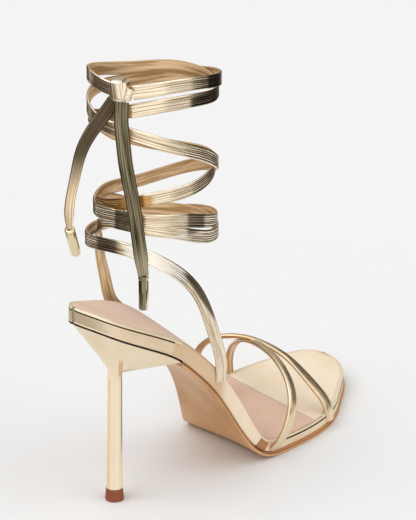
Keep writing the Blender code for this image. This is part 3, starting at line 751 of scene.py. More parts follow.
class Bed:
    """The curved form that footbed, outsole and heel seat share."""

    def __init__(self) -> None:
        """Read the sections."""
        self.spline = Spline([self.station(row[0]) for row in SECTIONS], [row[1:] for row in SECTIONS])

    @staticmethod
    def station(x: float) -> float:
        """Turn a distance from the heel into a share that moves slowly round both ends."""
        return math.acos(min(max(1 - 2 * x / LENGTH, -1.0), 1.0)) / math.pi

    @staticmethod
    def distance(share: float) -> float:
        """Turn that share back into a distance from the heel."""
        return LENGTH * (1 - math.cos(math.pi * share)) / 2

    def outline(self, share: float, side: int) -> np.ndarray:
        """Return the plan point of the outer (-1) or inner (1) edge."""
        row = self.spline.read(share)
        return np.array((self.distance(share), -row[0] if side < 0 else row[1]))

    def plan(self, share: float, side: int, inset: float) -> np.ndarray:
        """Return a plan point that lies inset from the edge, square to the outline."""
        low, high = max(share - 0.002, 0.0), min(share + 0.002, 1.0)
        along = unit(self.outline(high, side) - self.outline(low, side))
        return self.outline(share, side) + np.array((along[1], -along[0])) * side * inset

    def across(self, x: float, y: float) -> tuple[float, float]:
        """Return the plain height of the top at a plan point, and its crown from 0 to 1."""
        outer, inner, outer_top, inner_top = self.spline.read(self.station(x))
        breadth = outer + inner
        share = min(max((y + outer) / breadth, 0.0), 1.0) if breadth > 1e-6 else 0.5
        height = outer_top + (inner_top - outer_top) * share
        return height, 4 * share * (1 - share) * ease(*CROWN_RISE, x) * (1 - ease(*CROWN_FALL, x))

    def pitch(self, x: float) -> float:
        """Return the downward slope of the bed in radians."""
        ahead = self.spline.read(self.station(x + 0.5))[2:].mean()
        behind = self.spline.read(self.station(x - 0.5))[2:].mean()
        return math.atan(behind - ahead) * ease(*TILT_RISE, x) * (1 - ease(*TILT_FALL, x))

    def top(self, point: Sequence[float], rise: float = 0.0) -> np.ndarray:
        """Return the point of the top surface over a plan point, or one that stands rise above it."""
        height, crown = self.across(point[0], point[1])
        tilt = self.pitch(point[0])
        z = height + TOP_CROWN * crown
        return np.array((point[0] + rise * math.sin(tilt), point[1], z + rise * math.cos(tilt)))

    def under(self, point: Sequence[float], drop: float) -> np.ndarray:
        """Return the point that lies drop below the footbed's underside."""
        tilt = self.pitch(point[0])
        height, crown = self.across(point[0], point[1])
        thick = BED_THICK - (BED_THICK - BALL_THICK) * ease(*THIN_OUT, point[0])
        depth = thick + UNDER_CROWN * crown + drop
        lift = TOE_SPRING * max((point[0] - FLAT_END) / (LENGTH - FLAT_END), 0.0) ** SPRING_POWER
        flat = SOLE_THICK + GAP + lift - drop
        z = height - depth * math.cos(tilt)
        z = max(z + (flat - z) * ease(WAIST_END, FLAT_START, point[0]), flat)
        return np.array((point[0] - depth * math.sin(tilt), point[1], z))


BED = Bed()


# ---- Straps ----

ANKLE = (54.0, -3.0)
ANKLE_RADII = (33.6, 26.9)
INSTEP = (3.0, 6.0)

# Degrees round the ankle, height, distance out and twist of the face of the tie from the outer edge
OUTER_TIE = (
    (-55, 52.5, 1.9, -43), (-56, 62, 1.8, -42), (-67, 75, 1.5, -32), (-83, 94.5, 1, -17),
    (-94, 106.1, 0.6, -6), (-106, 114.4, 0.6, 0), (-129, 124.7, 0.6, 0), (-157, 131.2, 0.6, 0),
    (-193, 131.3, 1, 0), (-215, 129.4, 1.8, 0), (-237, 128.6, 1.8, 0), (-301, 126.8, 0.6, 0),
    (-330, 127.8, 0.6, 0), (-376, 131, -0.5, 0), (-407, 133.4, -1.3, 0), (-441, 138.5, -0.5, 0),
    (-470, 143.2, 0.8, 0), (-499, 145.2, 0.4, 0), (-532, 146.1, -2, 0), (-560, 145, -2.2, 0),
    (-590, 144.6, -2, 0), (-625, 145, -0.4, 0), (-656, 144.2, 0.6, 0), (-706, 151.2, 0.6, 0),
    (-767, 161, -0.8, 0), (-798, 169.5, -0.3, 0), (-846, 181, 0.6, 0), (-872, 186, 0.6, 0),
    (-907, 190, 0.6, 0), (-957, 196, -0.3, 0), (-1008, 194.7, 0.6, 0), (-1041, 195.3, 0.6, 0),
    (-1074, 197.5, 0.6, 0), (-1134, 202.3, 0.6, 0), (-1195, 207, 0.6, 0), (-1230.5, 205.5, 0.6, 0),
)

# The tie from the inner edge, which winds the other way
INNER_TIE = (
    (51, 61.5, -0.2, 8), (66, 71.5, 0.2, -4), (81, 80.6, 0.4, -14), (93.5, 89, 0, -20),
    (101.5, 100.6, -0.6, -20), (110.5, 115.5, -0.8, -12), (117.5, 128, -1.6, -4),
    (140, 135.6, -4.8, 0), (160, 139.6, -4.4, 0), (180, 142.4, -2.8, 0), (221, 140.8, -0.8, 0),
    (248, 137, -0.6, 0), (281, 130.7, 0, 0), (315, 128, -0.8, 0), (344, 127.9, -1, 0),
    (390, 129.2, -0.6, 0), (419, 131, -0.6, 0), (450, 138.6, -1.2, 0), (480, 143, -3.6, 0),
    (510, 146.9, -3.7, 0), (545, 150.4, -3.2, 0), (581, 154.7, -1.2, 0), (604, 156.1, 0, 0),
    (640, 158, -0.8, 0), (675, 159.8, -2.2, 0), (710, 160, -1, 0), (760, 161.5, -0.6, 0),
    (784, 165.7, -0.6, 0), (803, 170, -0.6, 0), (830, 180, -0.6, 0), (860, 188, -0.6, 0),
    (890, 192, -0.6, 0), (927, 196.6, -0.6, 0), (987, 198.2, -0.6, 0), (1027, 196, -0.6, 0),
    (1108, 199.7, -0.6, 0), (1144, 200.5, -0.6, 0), (1195, 206, -0.6, 0), (1235, 208.8, 0, 0),
    (1255, 207.8, 0.4, 0), (1270.5, 206.4, 0.6, 0),
)

# Place and lean to the toe of the strap from the outer ball to the inner toes
BACK_TOE_STRAP = (
    (111, -29.3, 4.6, 0), (112, -33.5, 10, 0), (114, -36, 17, 0), (118, -36, 28, 0.1),
    (122.5, -31.5, 33.6, 0.2), (129, -22, 38.4, 0.3), (137, -7, 41.3, 0.35), (144.5, 12, 40.6, 0.3),
    (151, 25, 35, 0.2), (160, 37, 24.5, 0.1), (164, 42, 16, 0), (163.5, 41, 5.5, 0),
)

# The strap over it, from the outer toes to the inner ball
FRONT_TOE_STRAP = (
    (157.6, -29.5, 4.2, 0), (157.3, -28.6, 10.5, 0), (156, -21, 20.3, 0.1),
    (153.3, -13.2, 28.6, 0.2), (151.3, -7.7, 33.7, 0.3), (148.2, 0.8, 38.6, 0.35),
    (143.8, 12, 42.1, 0.35), (138.4, 24, 41.8, 0.3), (135.4, 31, 39, 0.2), (132.8, 36, 33.5, 0.1),
    (131, 37, 22, 0), (130.5, 34.2, 5.5, 0),
)

# The middle of each tail, from the knot to the top of its metal end
TAIL_A = (
    (18.9, -10.4, 202.2), (16.4, -8.6, 198), (11.2, -5.9, 191.2), (3.9, -4.4, 182),
    (-1.3, -4.2, 169.4), (-4.8, -4, 157.4), (-4.9, -3.8, 146.8),
)

TAIL_B = (
    (18.9, -14.9, 202.2), (17.2, -15.8, 196), (17.2, -16.6, 186), (17.8, -17.3, 175.6),
    (19.3, -19.8, 158.4), (20.9, -21.9, 138.7), (22.5, -23.3, 121),
)


@dataclass
class StrapSection:
    """A strap's section: folded leather with lengthwise pleats on its outer face.

    Attributes:
        width: breadth in millimetres.
        thick: thickness in millimetres.
        grooves: places of the pleats across the width, from -1 to 1.
        depth: how deep a pleat is, in millimetres.
        crown: how much the outer face rises in the middle, in millimetres.
        groove_width: how wide a pleat is, as a share of half the width.
        face_steps: steps across the outer face.
        edge_steps: steps round each edge.
        inner_steps: steps across the inner face.
    """

    width: float
    thick: float
    grooves: tuple[float, ...] = (-0.7, -0.38, -0.05, 0.3, 0.66)
    depth: float = 0.15
    crown: float = 0.0
    groove_width: float = 0.1
    face_steps: int = 36
    edge_steps: int = 4
    inner_steps: int = 8

    def outline(self, along: float) -> list[tuple[float, float]]:
        """Return the section's points as (across, out) at a distance along the strap.

        Args:
            along: the distance in millimetres, which makes the pleats wander a little.

        Returns:
            Points from the outer face round to the inner face.
        """
        half, t = self.width / 2 * (1 + 0.025 * math.sin(along / 13.0 + self.width)), self.thick / 2
        flat = half - t * 0.8
        points = []
        for i in range(self.face_steps + 1):
            share = -1 + 2 * i / self.face_steps
            a = flat * share
            drop = 0.0
            for k, groove in enumerate(self.grooves):
                wander = 0.03 * math.sin(along / 19.0 + 1.7 * k) + 0.012 * math.sin(along / 8.0 + k)
                deep = 0.75 + 0.25 * math.sin(along / 17.0 + 2.1 * k)
                drop += deep * math.exp(-(((share - groove - wander) / self.groove_width) ** 2))
            points.append((a, t + self.crown * (1 - share * share) - self.depth * drop))
        for i in range(1, self.edge_steps):
            turn = math.pi * i / self.edge_steps
            points.append((flat + t * 0.8 * math.sin(turn), t * math.cos(turn)))
        for i in range(self.inner_steps + 1):
            points.append((flat * (1 - 2 * i / self.inner_steps), -t))
        for i in range(1, self.edge_steps):
            turn = math.pi * i / self.edge_steps
            points.append((-flat - t * 0.8 * math.sin(turn), -t * math.cos(turn)))
        return points

    def mark(self, _row: int, place: int) -> int:
        """Return 0 for the outer face and the edges' near halves, 1 for the inner face, 2 for the rest."""
        first = self.face_steps + self.edge_steps
        if first <= place < first + self.inner_steps:
            return 1
        near_half = self.face_steps + self.edge_steps // 2
        far_half = first + self.inner_steps + self.edge_steps // 2
        return 2 if near_half <= place < far_half else 0


def set_square(
    centre: np.ndarray,
    ahead: np.ndarray,
    face: np.ndarray,
    outline: Sequence[tuple[float, float]],
    squeeze: float = 1.0,
) -> list[np.ndarray]:
    """Set a strap's section square to its path.

    Args:
        centre: the middle of the strap.
        ahead: the way the strap runs.
        face: the way its outer face should look.
        outline: the section as (across, out).
        squeeze: the share of its breadth that it keeps.

    Returns:
        The section's points.
    """
    face = unit(face - ahead * float(face @ ahead))
    across = np.cross(ahead, face)
    return [centre + across * a * squeeze + face * b for a, b in outline]


@dataclass
class Strap:
    """One strap along a smooth path.

    Attributes:
        name: the piece's name.
        rows: the path's rows.
        place: turns a row into a point.
        facing: turns a row into the way its face looks.
        section: its section.
        step: distance between sections in millimetres.
    """

    name: str
    rows: Sequence[Sequence[float]]
    place: Callable[[Sequence[float]], np.ndarray]
    facing: Callable[[Sequence[float]], np.ndarray]
    section: StrapSection
    step: float = 1.5
    length: float = field(init=False, default=0.0)

    def __post_init__(self) -> None:
        """Fit the path."""
        lengths = [0.0]
        points = [self.place(row) for row in self.rows]
        for before, after in zip(points, points[1:]):
            lengths.append(lengths[-1] + float(np.linalg.norm(after - before)))
        self.length = lengths[-1]
        self.path = Spline(lengths, self.rows)

    def point(self, along: float) -> np.ndarray:
        """Return the middle of the strap at a distance along it."""
        return self.place(self.path.read(along))

    def ring(self, along: float) -> list[np.ndarray]:
        """Return the strap's section there."""
        centre = self.point(along)
        ahead = unit(self.point(along + 0.2) - self.point(along - 0.2))
        face = self.facing(self.path.read(along))
        return set_square(centre, ahead, face, self.section.outline(along))

    def build(self) -> bpy.types.Object:
        """Return the finished mesh."""
        count = max(2, math.ceil(self.length / self.step))
        rings = [self.ring(self.length * i / count) for i in range(count + 1)]
        size = (self.length * MM, 1.0)
        return grid_skin(self.name, rings, marks=self.section.mark, uv_size=size, sharp=STRAP_SHARP)


def round_ankle(row: Sequence[float]) -> np.ndarray:
    """Return the point of a tie's row on the ankle's oval column."""
    turn = math.radians(row[0])
    x = ANKLE[0] + (ANKLE_RADII[0] + row[2]) * math.cos(turn)
    y = ANKLE[1] + (ANKLE_RADII[1] + row[2]) * math.sin(turn)
    return np.array((x, y, row[1]))


def off_ankle(row: Sequence[float]) -> np.ndarray:
    """Return the way a tie's face looks there."""
    turn = math.radians(row[0])
    out = unit(np.array((math.cos(turn) / ANKLE_RADII[0], math.sin(turn) / ANKLE_RADII[1])))
    twist = math.radians(row[3])
    x = out[0] * math.cos(twist) - out[1] * math.sin(twist)
    y = out[0] * math.sin(twist) + out[1] * math.cos(twist)
    return np.array((x, y, 0.0))


def over_toes(row: Sequence[float]) -> np.ndarray:
    """Return the way a toe strap's face looks."""
    out = unit(np.array((0.0, row[1] - INSTEP[0], row[2] - INSTEP[1])))
    return unit(np.array((row[3], out[1], out[2])))


class AnkleTies:
    """The two flat ties wound round the open ankle."""

    section = StrapSection(6.4, 1.3)

    def build(self, finishes: Finishes) -> None:
        """Make both ties."""
        for name, rows in (("outer_tie_leather", OUTER_TIE), ("inner_tie_leather", INNER_TIE)):
            piece = Strap(name, rows, round_ankle, off_ankle, self.section).build()
            dress(piece, Slot.STRAP, finishes["gold_outside"], finishes["tan_inside"], finishes["tie_edge"])
            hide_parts("ankle_ties")


class ToeStraps:
    """The two rounded straps crossed over the toes."""

    section = StrapSection(6.0, 1.8, grooves=(-0.4, 0.3), depth=0.08, crown=0.6)

    def build(self, finishes: Finishes) -> None:
        """Make both straps."""
        for word, rows in (("back", BACK_TOE_STRAP), ("front", FRONT_TOE_STRAP)):
            name = f"{word}_toe_strap_leather"
            piece = Strap(name, rows, lambda row: np.array(row[:3]), over_toes, self.section, 1.2).build()
            dress(piece, Slot.STRAP, finishes["toe_gold"], finishes["tan_inside"], finishes["toe_edge"])
            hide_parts("toe_straps")


@dataclass
class Tail:
    """A free end of the tie, a flat folded band that hangs from the knot.

    Attributes:
        name: the CAD node it stands for.
        route: the path's points.
        way: the direction of its metal end.
        turns: how far its face has turned, in degrees, at the top and at the end.
        width: its breadth at the top, in millimetres.
        taper: the share of that breadth that is lost on the way down.
        finish: the outer face's finish.
        narrowing: the shares of the length over which the taper comes in.
        pinch: the share of the breadth lost where it enters the metal end.
        pinching: the shares of the length over which that comes in.
        step: distance between sections in millimetres.
        path_steps: how many steps the path worked out along the tail has; nothing uses that path.
    """

    name: str
    route: Sequence[Sequence[float]]
    way: tuple[float, float, float]
    turns: tuple[float, float]
    width: float = 6.6
    taper: float = 0.0
    finish: str = "gold_tail"
    narrowing: tuple[float, float] = (0.1, 0.75)
    pinch: float = 0.25
    pinching: tuple[float, float] = (0.88, 1.0)
    step: float = 1.4
    path_steps: int = 24

    def facing(self, share: float) -> np.ndarray:
        """Return the way its face looks, from the top (0) to the end (1)."""
        turn = math.radians(self.turns[0] + (self.turns[1] - self.turns[0]) * share)
        return np.array((math.cos(turn), math.sin(turn), 0.0))

    def build(self, finishes: Finishes, exit_pieces: Sequence[bpy.types.Object]) -> None:
        """Args:
            finishes: the shoe's finishes.
            exit_pieces: not used.
        """
        spline, length = through(self.route)
        section = StrapSection(self.width, 1.5, grooves=(-0.55, -0.15, 0.3, 0.65), depth=0.2)
        count = math.ceil(length / self.step)
        rings = []
        for i in range(count + 1):
            along = length * i / count
            centre = spline.read(along)
            ahead = unit(spline.read(along + 0.2) - spline.read(along - 0.2))
            face = self.facing(along / length)
            squeeze = 1 - self.taper * ease(*self.narrowing, along / length)
            squeeze -= self.pinch * ease(*self.pinching, along / length)
            rings.append(set_square(centre, ahead, face, section.outline(along), squeeze))
        places = [length * i / self.path_steps for i in range(self.path_steps + 1)]
        path = [tuple((spline.read(place) - MIDDLE) * MM) for place in places]
        size = (length * MM, 1.0)
        band = grid_skin(f"{self.name}_leather", rings, marks=section.mark, uv_size=size, sharp=STRAP_SHARP)
        dress(band, Slot.STRAP, finishes[self.finish], finishes["tan_inside"], finishes["tie_edge"])
        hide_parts(self.name)
        end = self.metal_end()
        dress(end, Slot.METAL, finishes["end_metal_gold"])
        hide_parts(self.name.replace("tail", "aglet"))

    def metal_end(self) -> bpy.types.Object:
        """Return the turned metal end with its rolled rim and crimp."""
        axis = unit(np.array(self.way))
        levels = (
            (-0.1, 1.5), (0.0, 2.1), (0.25, 2.38), (0.7, 2.45), (1.2, 2.38), (1.5, 2.12),
            (1.9, 2.1), (2.2, 2.28), (15.2, 2.28), (15.7, 2.2), (15.95, 2.0), (16.0, 1.5),
        )
        name = f"{self.name.replace('tail', 'aglet')}_metal"
        return turned(name, np.array(self.route[-1]) + axis * 0.3, axis, levels, 40, 50.0)


def squared(turn: float, power: int) -> tuple[float, float, float]:
    """Return a turn's cosine and sine, and how far out a squared circle lies there."""
    c, s = math.cos(turn), math.sin(turn)
    return c, s, (abs(c) ** power + abs(s) ** power) ** (-1 / power)


@dataclass
class Knot:
    """The square knot behind the top wrap: a folded block with the tie's wrap laid over it."""

    centre: tuple[float, float, float] = (19.4, -13.1, 207.4)
    size: tuple[float, float, float] = (7.0, 9.0, 9.0)
    turn: float = 24.0
    block_power: int = 7  # how square the block is
    wrap_power: int = 6  # how square the wrap over it is
    slant: float = 0.7  # how far the wrap is pulled along the tie, in millimetres

    def frame(self) -> tuple[np.ndarray, np.ndarray, np.ndarray]:
        """Return the ways out of the ankle, along the tie and up."""
        c, s = math.cos(math.radians(self.turn)), math.sin(math.radians(self.turn))
        return np.array((c, s, 0.0)), np.array((-s, c, 0.0)), np.array((0.0, 0.0, 1.0))

    def block(self) -> bpy.types.Object:
        """Return the squared block with soft folds across it."""
        out, along, up = self.frame()
        rings = []
        steps, sides = 48, 80
        for i in range(steps + 1):
            share = -1 + 2 * i / steps
            swell = max((1 - abs(share) ** 5) ** 0.3 if abs(share) < 1 else 0.0, 0.12)
            ring = []
            for k in range(sides):
                c, s, square = squared(2 * math.pi * k / sides, self.block_power)
                fold = 0.02 * math.sin(7 * share + 2.5 * s + 1.2 * c) + 0.008 * math.sin(13 * share - 3.0 * s)
                radius = square * swell * (0.93 + fold)
                place = along * share * self.size[1] / 2 + out * c * radius * self.size[0] / 2
                ring.append(np.array(self.centre) + (place + up * s * radius * self.size[2] / 2))
            rings.append(ring)
        return grid_skin("knot_leather", rings, uv_size=(0.009, 1.0), sharp=60.0)

    def wrap(self) -> bpy.types.Object:
        """Return the band that goes over the block, pulled a little aslant."""
        out, along, up = self.frame()
        section = StrapSection(5.6, 0.9, grooves=(-0.62, 0.62), depth=0.08, crown=0.3)
        outlines = section.outline(3.0)
        sides = 64
        rings = []
        for k in range(sides + 1):
            c, s, square = squared(2 * math.pi * k / sides, self.wrap_power)
            centre = np.array(self.centre) + out * c * square * self.size[0] * 0.5
            centre = centre + up * s * square * self.size[2] * 0.5 + along * self.slant * s
            face = unit(out * c * abs(c) ** 2 + up * s * abs(s) ** 2 + (out * c + up * s) * 0.25)
            rings.append([centre + along * a + face * b for a, b in outlines])
        return grid_skin(
            "knot_wrap_leather", rings, caps=False, marks=section.mark, uv_size=(0.03, 1.0), sharp=STRAP_SHARP
        )

    def loop(self) -> bpy.types.Object:
        """Return the short folded end that stands out beside the block."""
        out, along, up = self.frame()
        section = StrapSection(5.8, 0.9, grooves=(-0.3, 0.35), depth=0.15)
        rings = []
        root = np.array(self.centre) - along * (self.size[1] / 2 - 0.6) - out * 0.6 - up * 0.9
        axis = unit(up - along * 0.35)
        steps = 30
        for i in range(steps + 1):
            turn = math.radians(-100 + 200 * i / steps)
            way = unit(-along * math.cos(turn) - out * math.sin(turn) * 0.7 - up * 0.45 * math.cos(turn))
            rings.append([root + way * 2.1 + axis * a + way * b for a, b in section.outline(float(i))])
        size = (0.007, 1.0)
        return grid_skin("knot_loop_leather", rings, marks=section.mark, uv_size=size, sharp=STRAP_SHARP)

    def build(self, finishes: Finishes) -> list[bpy.types.Object]:
        """Make the block, the wrap and the loop."""
        pieces = [self.block(), self.wrap(), self.loop()]
        for piece in pieces:
            dress(piece, Slot.STRAP, finishes["knot_gold"], finishes["tan_inside"], finishes["tie_edge"])
            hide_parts("knot")
        return pieces


# ---- Heel ----


@dataclass
class Heel:
    """The slim stiletto with its top piece.

    Attributes:
        x: the middle of its foot, from the shoe's back.
        lean: how far ahead of that the stem's top stands.
        neck_front: the height at which the funnel starts, at the front.
        neck_back: the same at the back.
        sides: how many sides it has round.
        breast_steps: steps across half of the seat's front edge.
        stem: height and radius, from the top piece up.
        inset: how far inside the bed's outline the seat stays.
        flare_steps: sections up the funnel.
        flare_power: how much closer they stand at its foot.
        fillet: how softly the stem turns into the funnel.
        closing: the seat's sections on the way to its middle, as shares of its breadth.
        ribs: how many fine ribs go round the top piece.
        rib_gap: the height from one rib to the next.
    """

    x: float = 26.5
    lean: float = 1.4
    neck_front: float = 64.3
    neck_back: float = 66.5
    sides: int = 96
    breast_steps: int = 10
    stem: tuple = ((6.3, 3.95), (14, 3.8), (30, 3.6), (46, 3.5), (58, 3.45))
    inset: float = 0.5
    flare_steps: int = 26
    flare_power: float = 1.6
    fillet: float = 0.07
    closing: tuple[float, ...] = (0.97, 0.66, 0.33, 0.04)
    ribs: int = 9
    rib_gap: float = 0.52

    def seat(self, step: int) -> np.ndarray:
        """Return a plan point of the seat's outline, counted from the middle of its front edge."""
        side = -1 if step <= self.sides // 2 else 1
        count = step if side < 0 else self.sides - step
        front = BED.station(BREAST)
        corner = BED.plan(front, side, self.inset)
        if count <= self.breast_steps:
            across = BED.plan(front, -side, self.inset)
            return corner + (across - corner) * 0.5 * (1 - count / self.breast_steps)
        back = (count - self.breast_steps) / (self.sides // 2 - self.breast_steps)
        return BED.plan(front * (1 - back), side, self.inset)

    def build(self, finishes: Finishes) -> None:
        """Make the covered heel and its top piece."""
        turns = [-2 * math.pi * k / self.sides for k in range(self.sides)]
        rings = []
        for height, radius in self.stem:
            middle = self.x + self.lean * height / self.stem[-1][0]
            around = [(middle + radius * math.cos(a), radius * math.sin(a), height) for a in turns]
            rings.append([np.array(point) for point in around])
        radius = self.stem[-1][1]
        top = self.x + self.lean
        neck = []
        for a in turns:
            height = self.neck_back + (self.neck_front - self.neck_back) * (1 + math.cos(a)) / 2
            neck.append(np.array((top + radius * math.cos(a), radius * math.sin(a), height)))
        rings.append(neck)
        seat = [BED.under(self.seat(k), GAP) for k in range(self.sides)]
        for i in range(1, self.flare_steps + 1):
            part = (i / self.flare_steps) ** self.flare_power
            out = part * part / (part + self.fillet) * (1 + self.fillet)
            shares = np.array((out, out, part))
            rings.append([low + (high - low) * shares for low, high in zip(neck, seat)])
        middle = np.array((top, 0.0))
        for part in self.closing:
            rings.append([BED.under(middle + (self.seat(k) - middle) * part, GAP) for k in range(self.sides)])
        heel = grid_skin("heel_cover_leather", rings, sharp=50.0)
        dress(heel, Slot.HEEL, finishes["heel_gold"])
        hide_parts("heel")
        levels = [(0.0, 4.1), (0.2, 4.4), (0.6, 4.5)]
        for i in range(self.ribs):
            z, wide = 1.0 + self.rib_gap * i, 4.48 - 0.045 * i
            levels += [(z, wide), (z + 0.2, wide - 0.1), (z + 0.34, wide)]
        levels += [(5.8, 4.08), (6.0, 3.9)]
        tip = turned("top_piece_rubber", (self.x, 0.0, 0.0), (0.0, 0.0, 1.0), levels, self.sides, 35.0)
        dress(tip, Slot.TIP, finishes["tip_brown"])
        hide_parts("heel_tip")


# ---- Footbed and sole ----


class Wrap(Enum):
    """The finishes of the wrapped edge, in the order that the board is given them."""

    GRAIN = 0
    LIP = 1
    # painted shade in the groove under the lip, a painted dark reflection near the toe
    GROOVE = 2
    SIDE = 3
    ORANGE = 4
    # a grey reflection painted on the inner lip
    COOL = 5


# The wrapped edge from below: inset from the outline, share of the way up, finish of the face above that step
RAIL = (
    (1.4, 0.0, Wrap.GRAIN),
    (0.6, 0.03, Wrap.GRAIN),
    (0.18, 0.1, Wrap.GRAIN),
    (0.02, 0.22, Wrap.GRAIN),
    (-0.08, 0.42, Wrap.GRAIN),
    (-0.06, 0.6, Wrap.GRAIN),
    (0.0, 0.7, Wrap.GRAIN),
    (0.05, 0.76, Wrap.GROOVE),
    (0.5, 0.8, Wrap.GROOVE),
    (0.1, 0.845, Wrap.LIP),
    (0.04, 0.9, Wrap.LIP),
    (0.2, 0.96, Wrap.LIP),
    (0.6, 1.0, Wrap.LIP),
    (1.3, 1.005, Wrap.LIP),
)


@dataclass
class Footbed:
    """The wrapped board, its lining, its forefoot cover and the sole."""

    stations: int = 190
    rear_end: tuple[float, float] = (44.0, 54.0)  # where the line under the lip dies away
    front_start: tuple[float, float] = (108.0, 114.0)  # where it starts again ahead of the ball
    cut_end: tuple[float, float] = (103.5, 107.0)  # the cut lower end of the side's wrap
    inner_start: tuple[float, float] = (176.0, 184.0)  # where it starts again on the inner edge
    # the grey on the inner lip is a painted reflection
    grey_span: tuple[float, float] = (46.0, 112.0)  # where the inner lip is painted grey
    accent_span: tuple[float, float] = (118.0, 151.0)  # where the outer lip's last step but one is orange
    cut_steps: int = 9  # how many of the rail's steps the cut takes
    line_foot: float = 0.78  # the share of the way up from which the line keeps its height
    line_widen: float = 0.07  # how far its lower side drops where it is widest
    line_flush: float = 0.03  # its inset where it has died away
    line_x: float = 151.6  # where the lining ends, at y = 0
    line_slope: float = 0.2165
    lining_inset: float = 1.7
    cover_steps: tuple[int, int] = (36, 150)  # steps across and along the lining and the cover
    cover_thick: float = 0.4
    seat_steps: int = 70  # steps along each line at the heel's seat

    def shares(self, first: float, last: float = LENGTH - 0.04) -> list[float]:
        """Return evenly spaced shares between two distances."""
        low, high = BED.station(first), BED.station(last)
        return [low + (high - low) * i / self.stations for i in range(self.stations + 1)]

    def build(self, finishes: Finishes) -> None:
        """Make every layer."""
        self.board(finishes)
        self.sole(finishes)
        self.cover(finishes)
        self.lines(finishes)

    def rail_shape(self, x: float, side: int) -> tuple[float, float]:
        """Return how deep the line under the lip is, from 0 to 1, and how much wider it is at the toe.

        Args:
            x: the distance from the heel.
            side: the outer (-1) or inner (1) edge.

        Returns:
            The line's depth and its extra width, both from 0 to 1.
        """
        rear = 1 - ease(*self.rear_end, x)
        front = ease(*self.front_start, x) if side < 0 else ease(*self.inner_start, x)
        return rear + front, front

    def rail_mark(self, x: float, side: int, step: int, mark: Wrap) -> Wrap:
        """Return the finish of one face of the wrapped edge.

        Args:
            x: the distance from the heel.
            side: the outer (-1) or inner (1) edge.
            step: the profile's step, counted from below.
            mark: the finish that the profile gives it.

        Returns:
            The finish there.
        """
        deep, _ = self.rail_shape(x, side)
        if side > 0:
            if mark in (Wrap.LIP, Wrap.GROOVE) and self.grey_span[0] < x < self.grey_span[1]:
                return Wrap.COOL
            return mark if deep > 0.5 or mark is not Wrap.GROOVE else Wrap.SIDE
        cut = self.cut_end[0] < x < self.cut_end[1] and step < self.cut_steps
        accent = self.accent_span[0] < x < self.accent_span[1] and step == len(RAIL) - 2
        if cut or accent:
            return Wrap.ORANGE
        if self.rear_end[0] + 1.0 < x < self.front_start[1]:
            return Wrap.SIDE if mark is not Wrap.LIP or deep < 0.5 else mark
        return mark

    @staticmethod
    def closed_ring(
        share: float, inset: float, sides: Sequence[list], over: Callable, below: Callable
    ) -> list[np.ndarray]:
        """Join both edges across the top and back across the underside.

        Args:
            share: where the section is.
            inset: how far inside the outline the crossing starts.
            sides: the outer and the inner edge, each from below.
            over: turns a plan point into a point of the top.
            below: turns a plan point into a point of the underside.

        Returns:
            The section's points.
        """
        low, high = BED.plan(share, -1, inset), BED.plan(share, 1, inset)
        ring = sides[0] + [over(low + (high - low) * part) for part in ACROSS] + sides[1][::-1]
        return ring + [below(high + (low - high) * part) for part in ACROSS]

    def board(self, finishes: Finishes) -> None:
        """The board with its wrapped gold edge; the line under its lip is painted shade, and a painted dark
        reflection near the toe.
        """
        rings, places = [], []
        for share in self.shares(0.04):
            x = BED.distance(share)
            places.append(x)
            sides = []
            for side in (-1, 1):
                deep, wide = self.rail_shape(x, side)
                edge = []
                for inward, rise, mark in RAIL:
                    if mark is Wrap.GROOVE:
                        rise -= self.line_widen * wide * (rise < self.line_foot)
                        inward = self.line_flush + (inward - self.line_flush) * deep
                    plan = BED.plan(share, side, inward)
                    foot, head = BED.under(plan, 0.0), BED.top(plan)
                    edge.append(foot + (head - foot) * rise)
                sides.append(edge)
            rings.append(self.closed_ring(share, 1.6, sides, BED.top, partial(BED.under, drop=0.0)))
        last = len(RAIL) - 1

        def mark(row: int, place: int) -> int:
            """Return the finish slot of one face of the board."""
            x = places[min(row, len(places) - 1)]
            if place <= last:
                return self.rail_mark(x, -1, place, RAIL[place][2]).value
            place -= last + 1 + len(ACROSS)
            if 0 <= place < last:
                return self.rail_mark(x, 1, last - 1 - place, RAIL[last - 1 - place][2]).value
            return Wrap.GRAIN.value

        board = grid_skin("footbed_edge_leather", rings, marks=mark, sharp=60.0)
        names = ("edge_gold", "lip_gold", "groove_dark", "side_gold", "toe_edge", "inner_lip_painted_reflection")
        dress(board, Slot.LINING, *(finishes[name] for name in names))
        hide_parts("footbed")

    def sole(self, finishes: Finishes) -> None:
        """The thin tan sole, dark red-brown along the top of its edge."""
        # from below: inset from the outline, share of the way up, and 1 for a dark red-brown face
        profile = (
            (0.9, 0.0, 0), (0.35, 0.02, 0), (0.08, 0.2, 0), (0.0, 0.5, 0),
            (0.02, 0.66, 1), (0.08, 0.82, 1), (0.35, 0.98, 0), (0.9, 1.0, 0),
        )
        rings = []
        inside, ground = partial(BED.under, drop=GAP), partial(BED.under, drop=GAP + SOLE_THICK)
        for share in self.shares(SOLE_START):
            lip = SOLE_LIP * ease(*LIP_RISE, BED.distance(share))
            sides = []
            for side in (-1, 1):
                edge = []
                for inward, rise, _ in profile:
                    plan = BED.plan(share, side, inward - lip)
                    foot, head = BED.under(plan, GAP + SOLE_THICK), BED.under(plan, GAP)
                    edge.append(foot + (head - foot) * rise)
                sides.append(edge)
            rings.append(self.closed_ring(share, 1.2, sides, inside, ground))
        marks = [row[2] for row in profile]
        whole = marks + [0] * len(ACROSS) + marks[::-1] + [0] * len(ACROSS)
        sole = grid_skin("outsole_leather", rings, marks=lambda row, place: whole[place], sharp=60.0)
        dress(sole, Slot.SOLE, finishes["sole_tan"], finishes["sole_edge"])
        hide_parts("outsole")

    def across_at(self, share: float, part: float, inset: float) -> np.ndarray:
        """Return a plan point part of the way from the outer to the inner edge."""
        low, high = BED.plan(share, -1, inset), BED.plan(share, 1, inset)
        return low + (high - low) * part

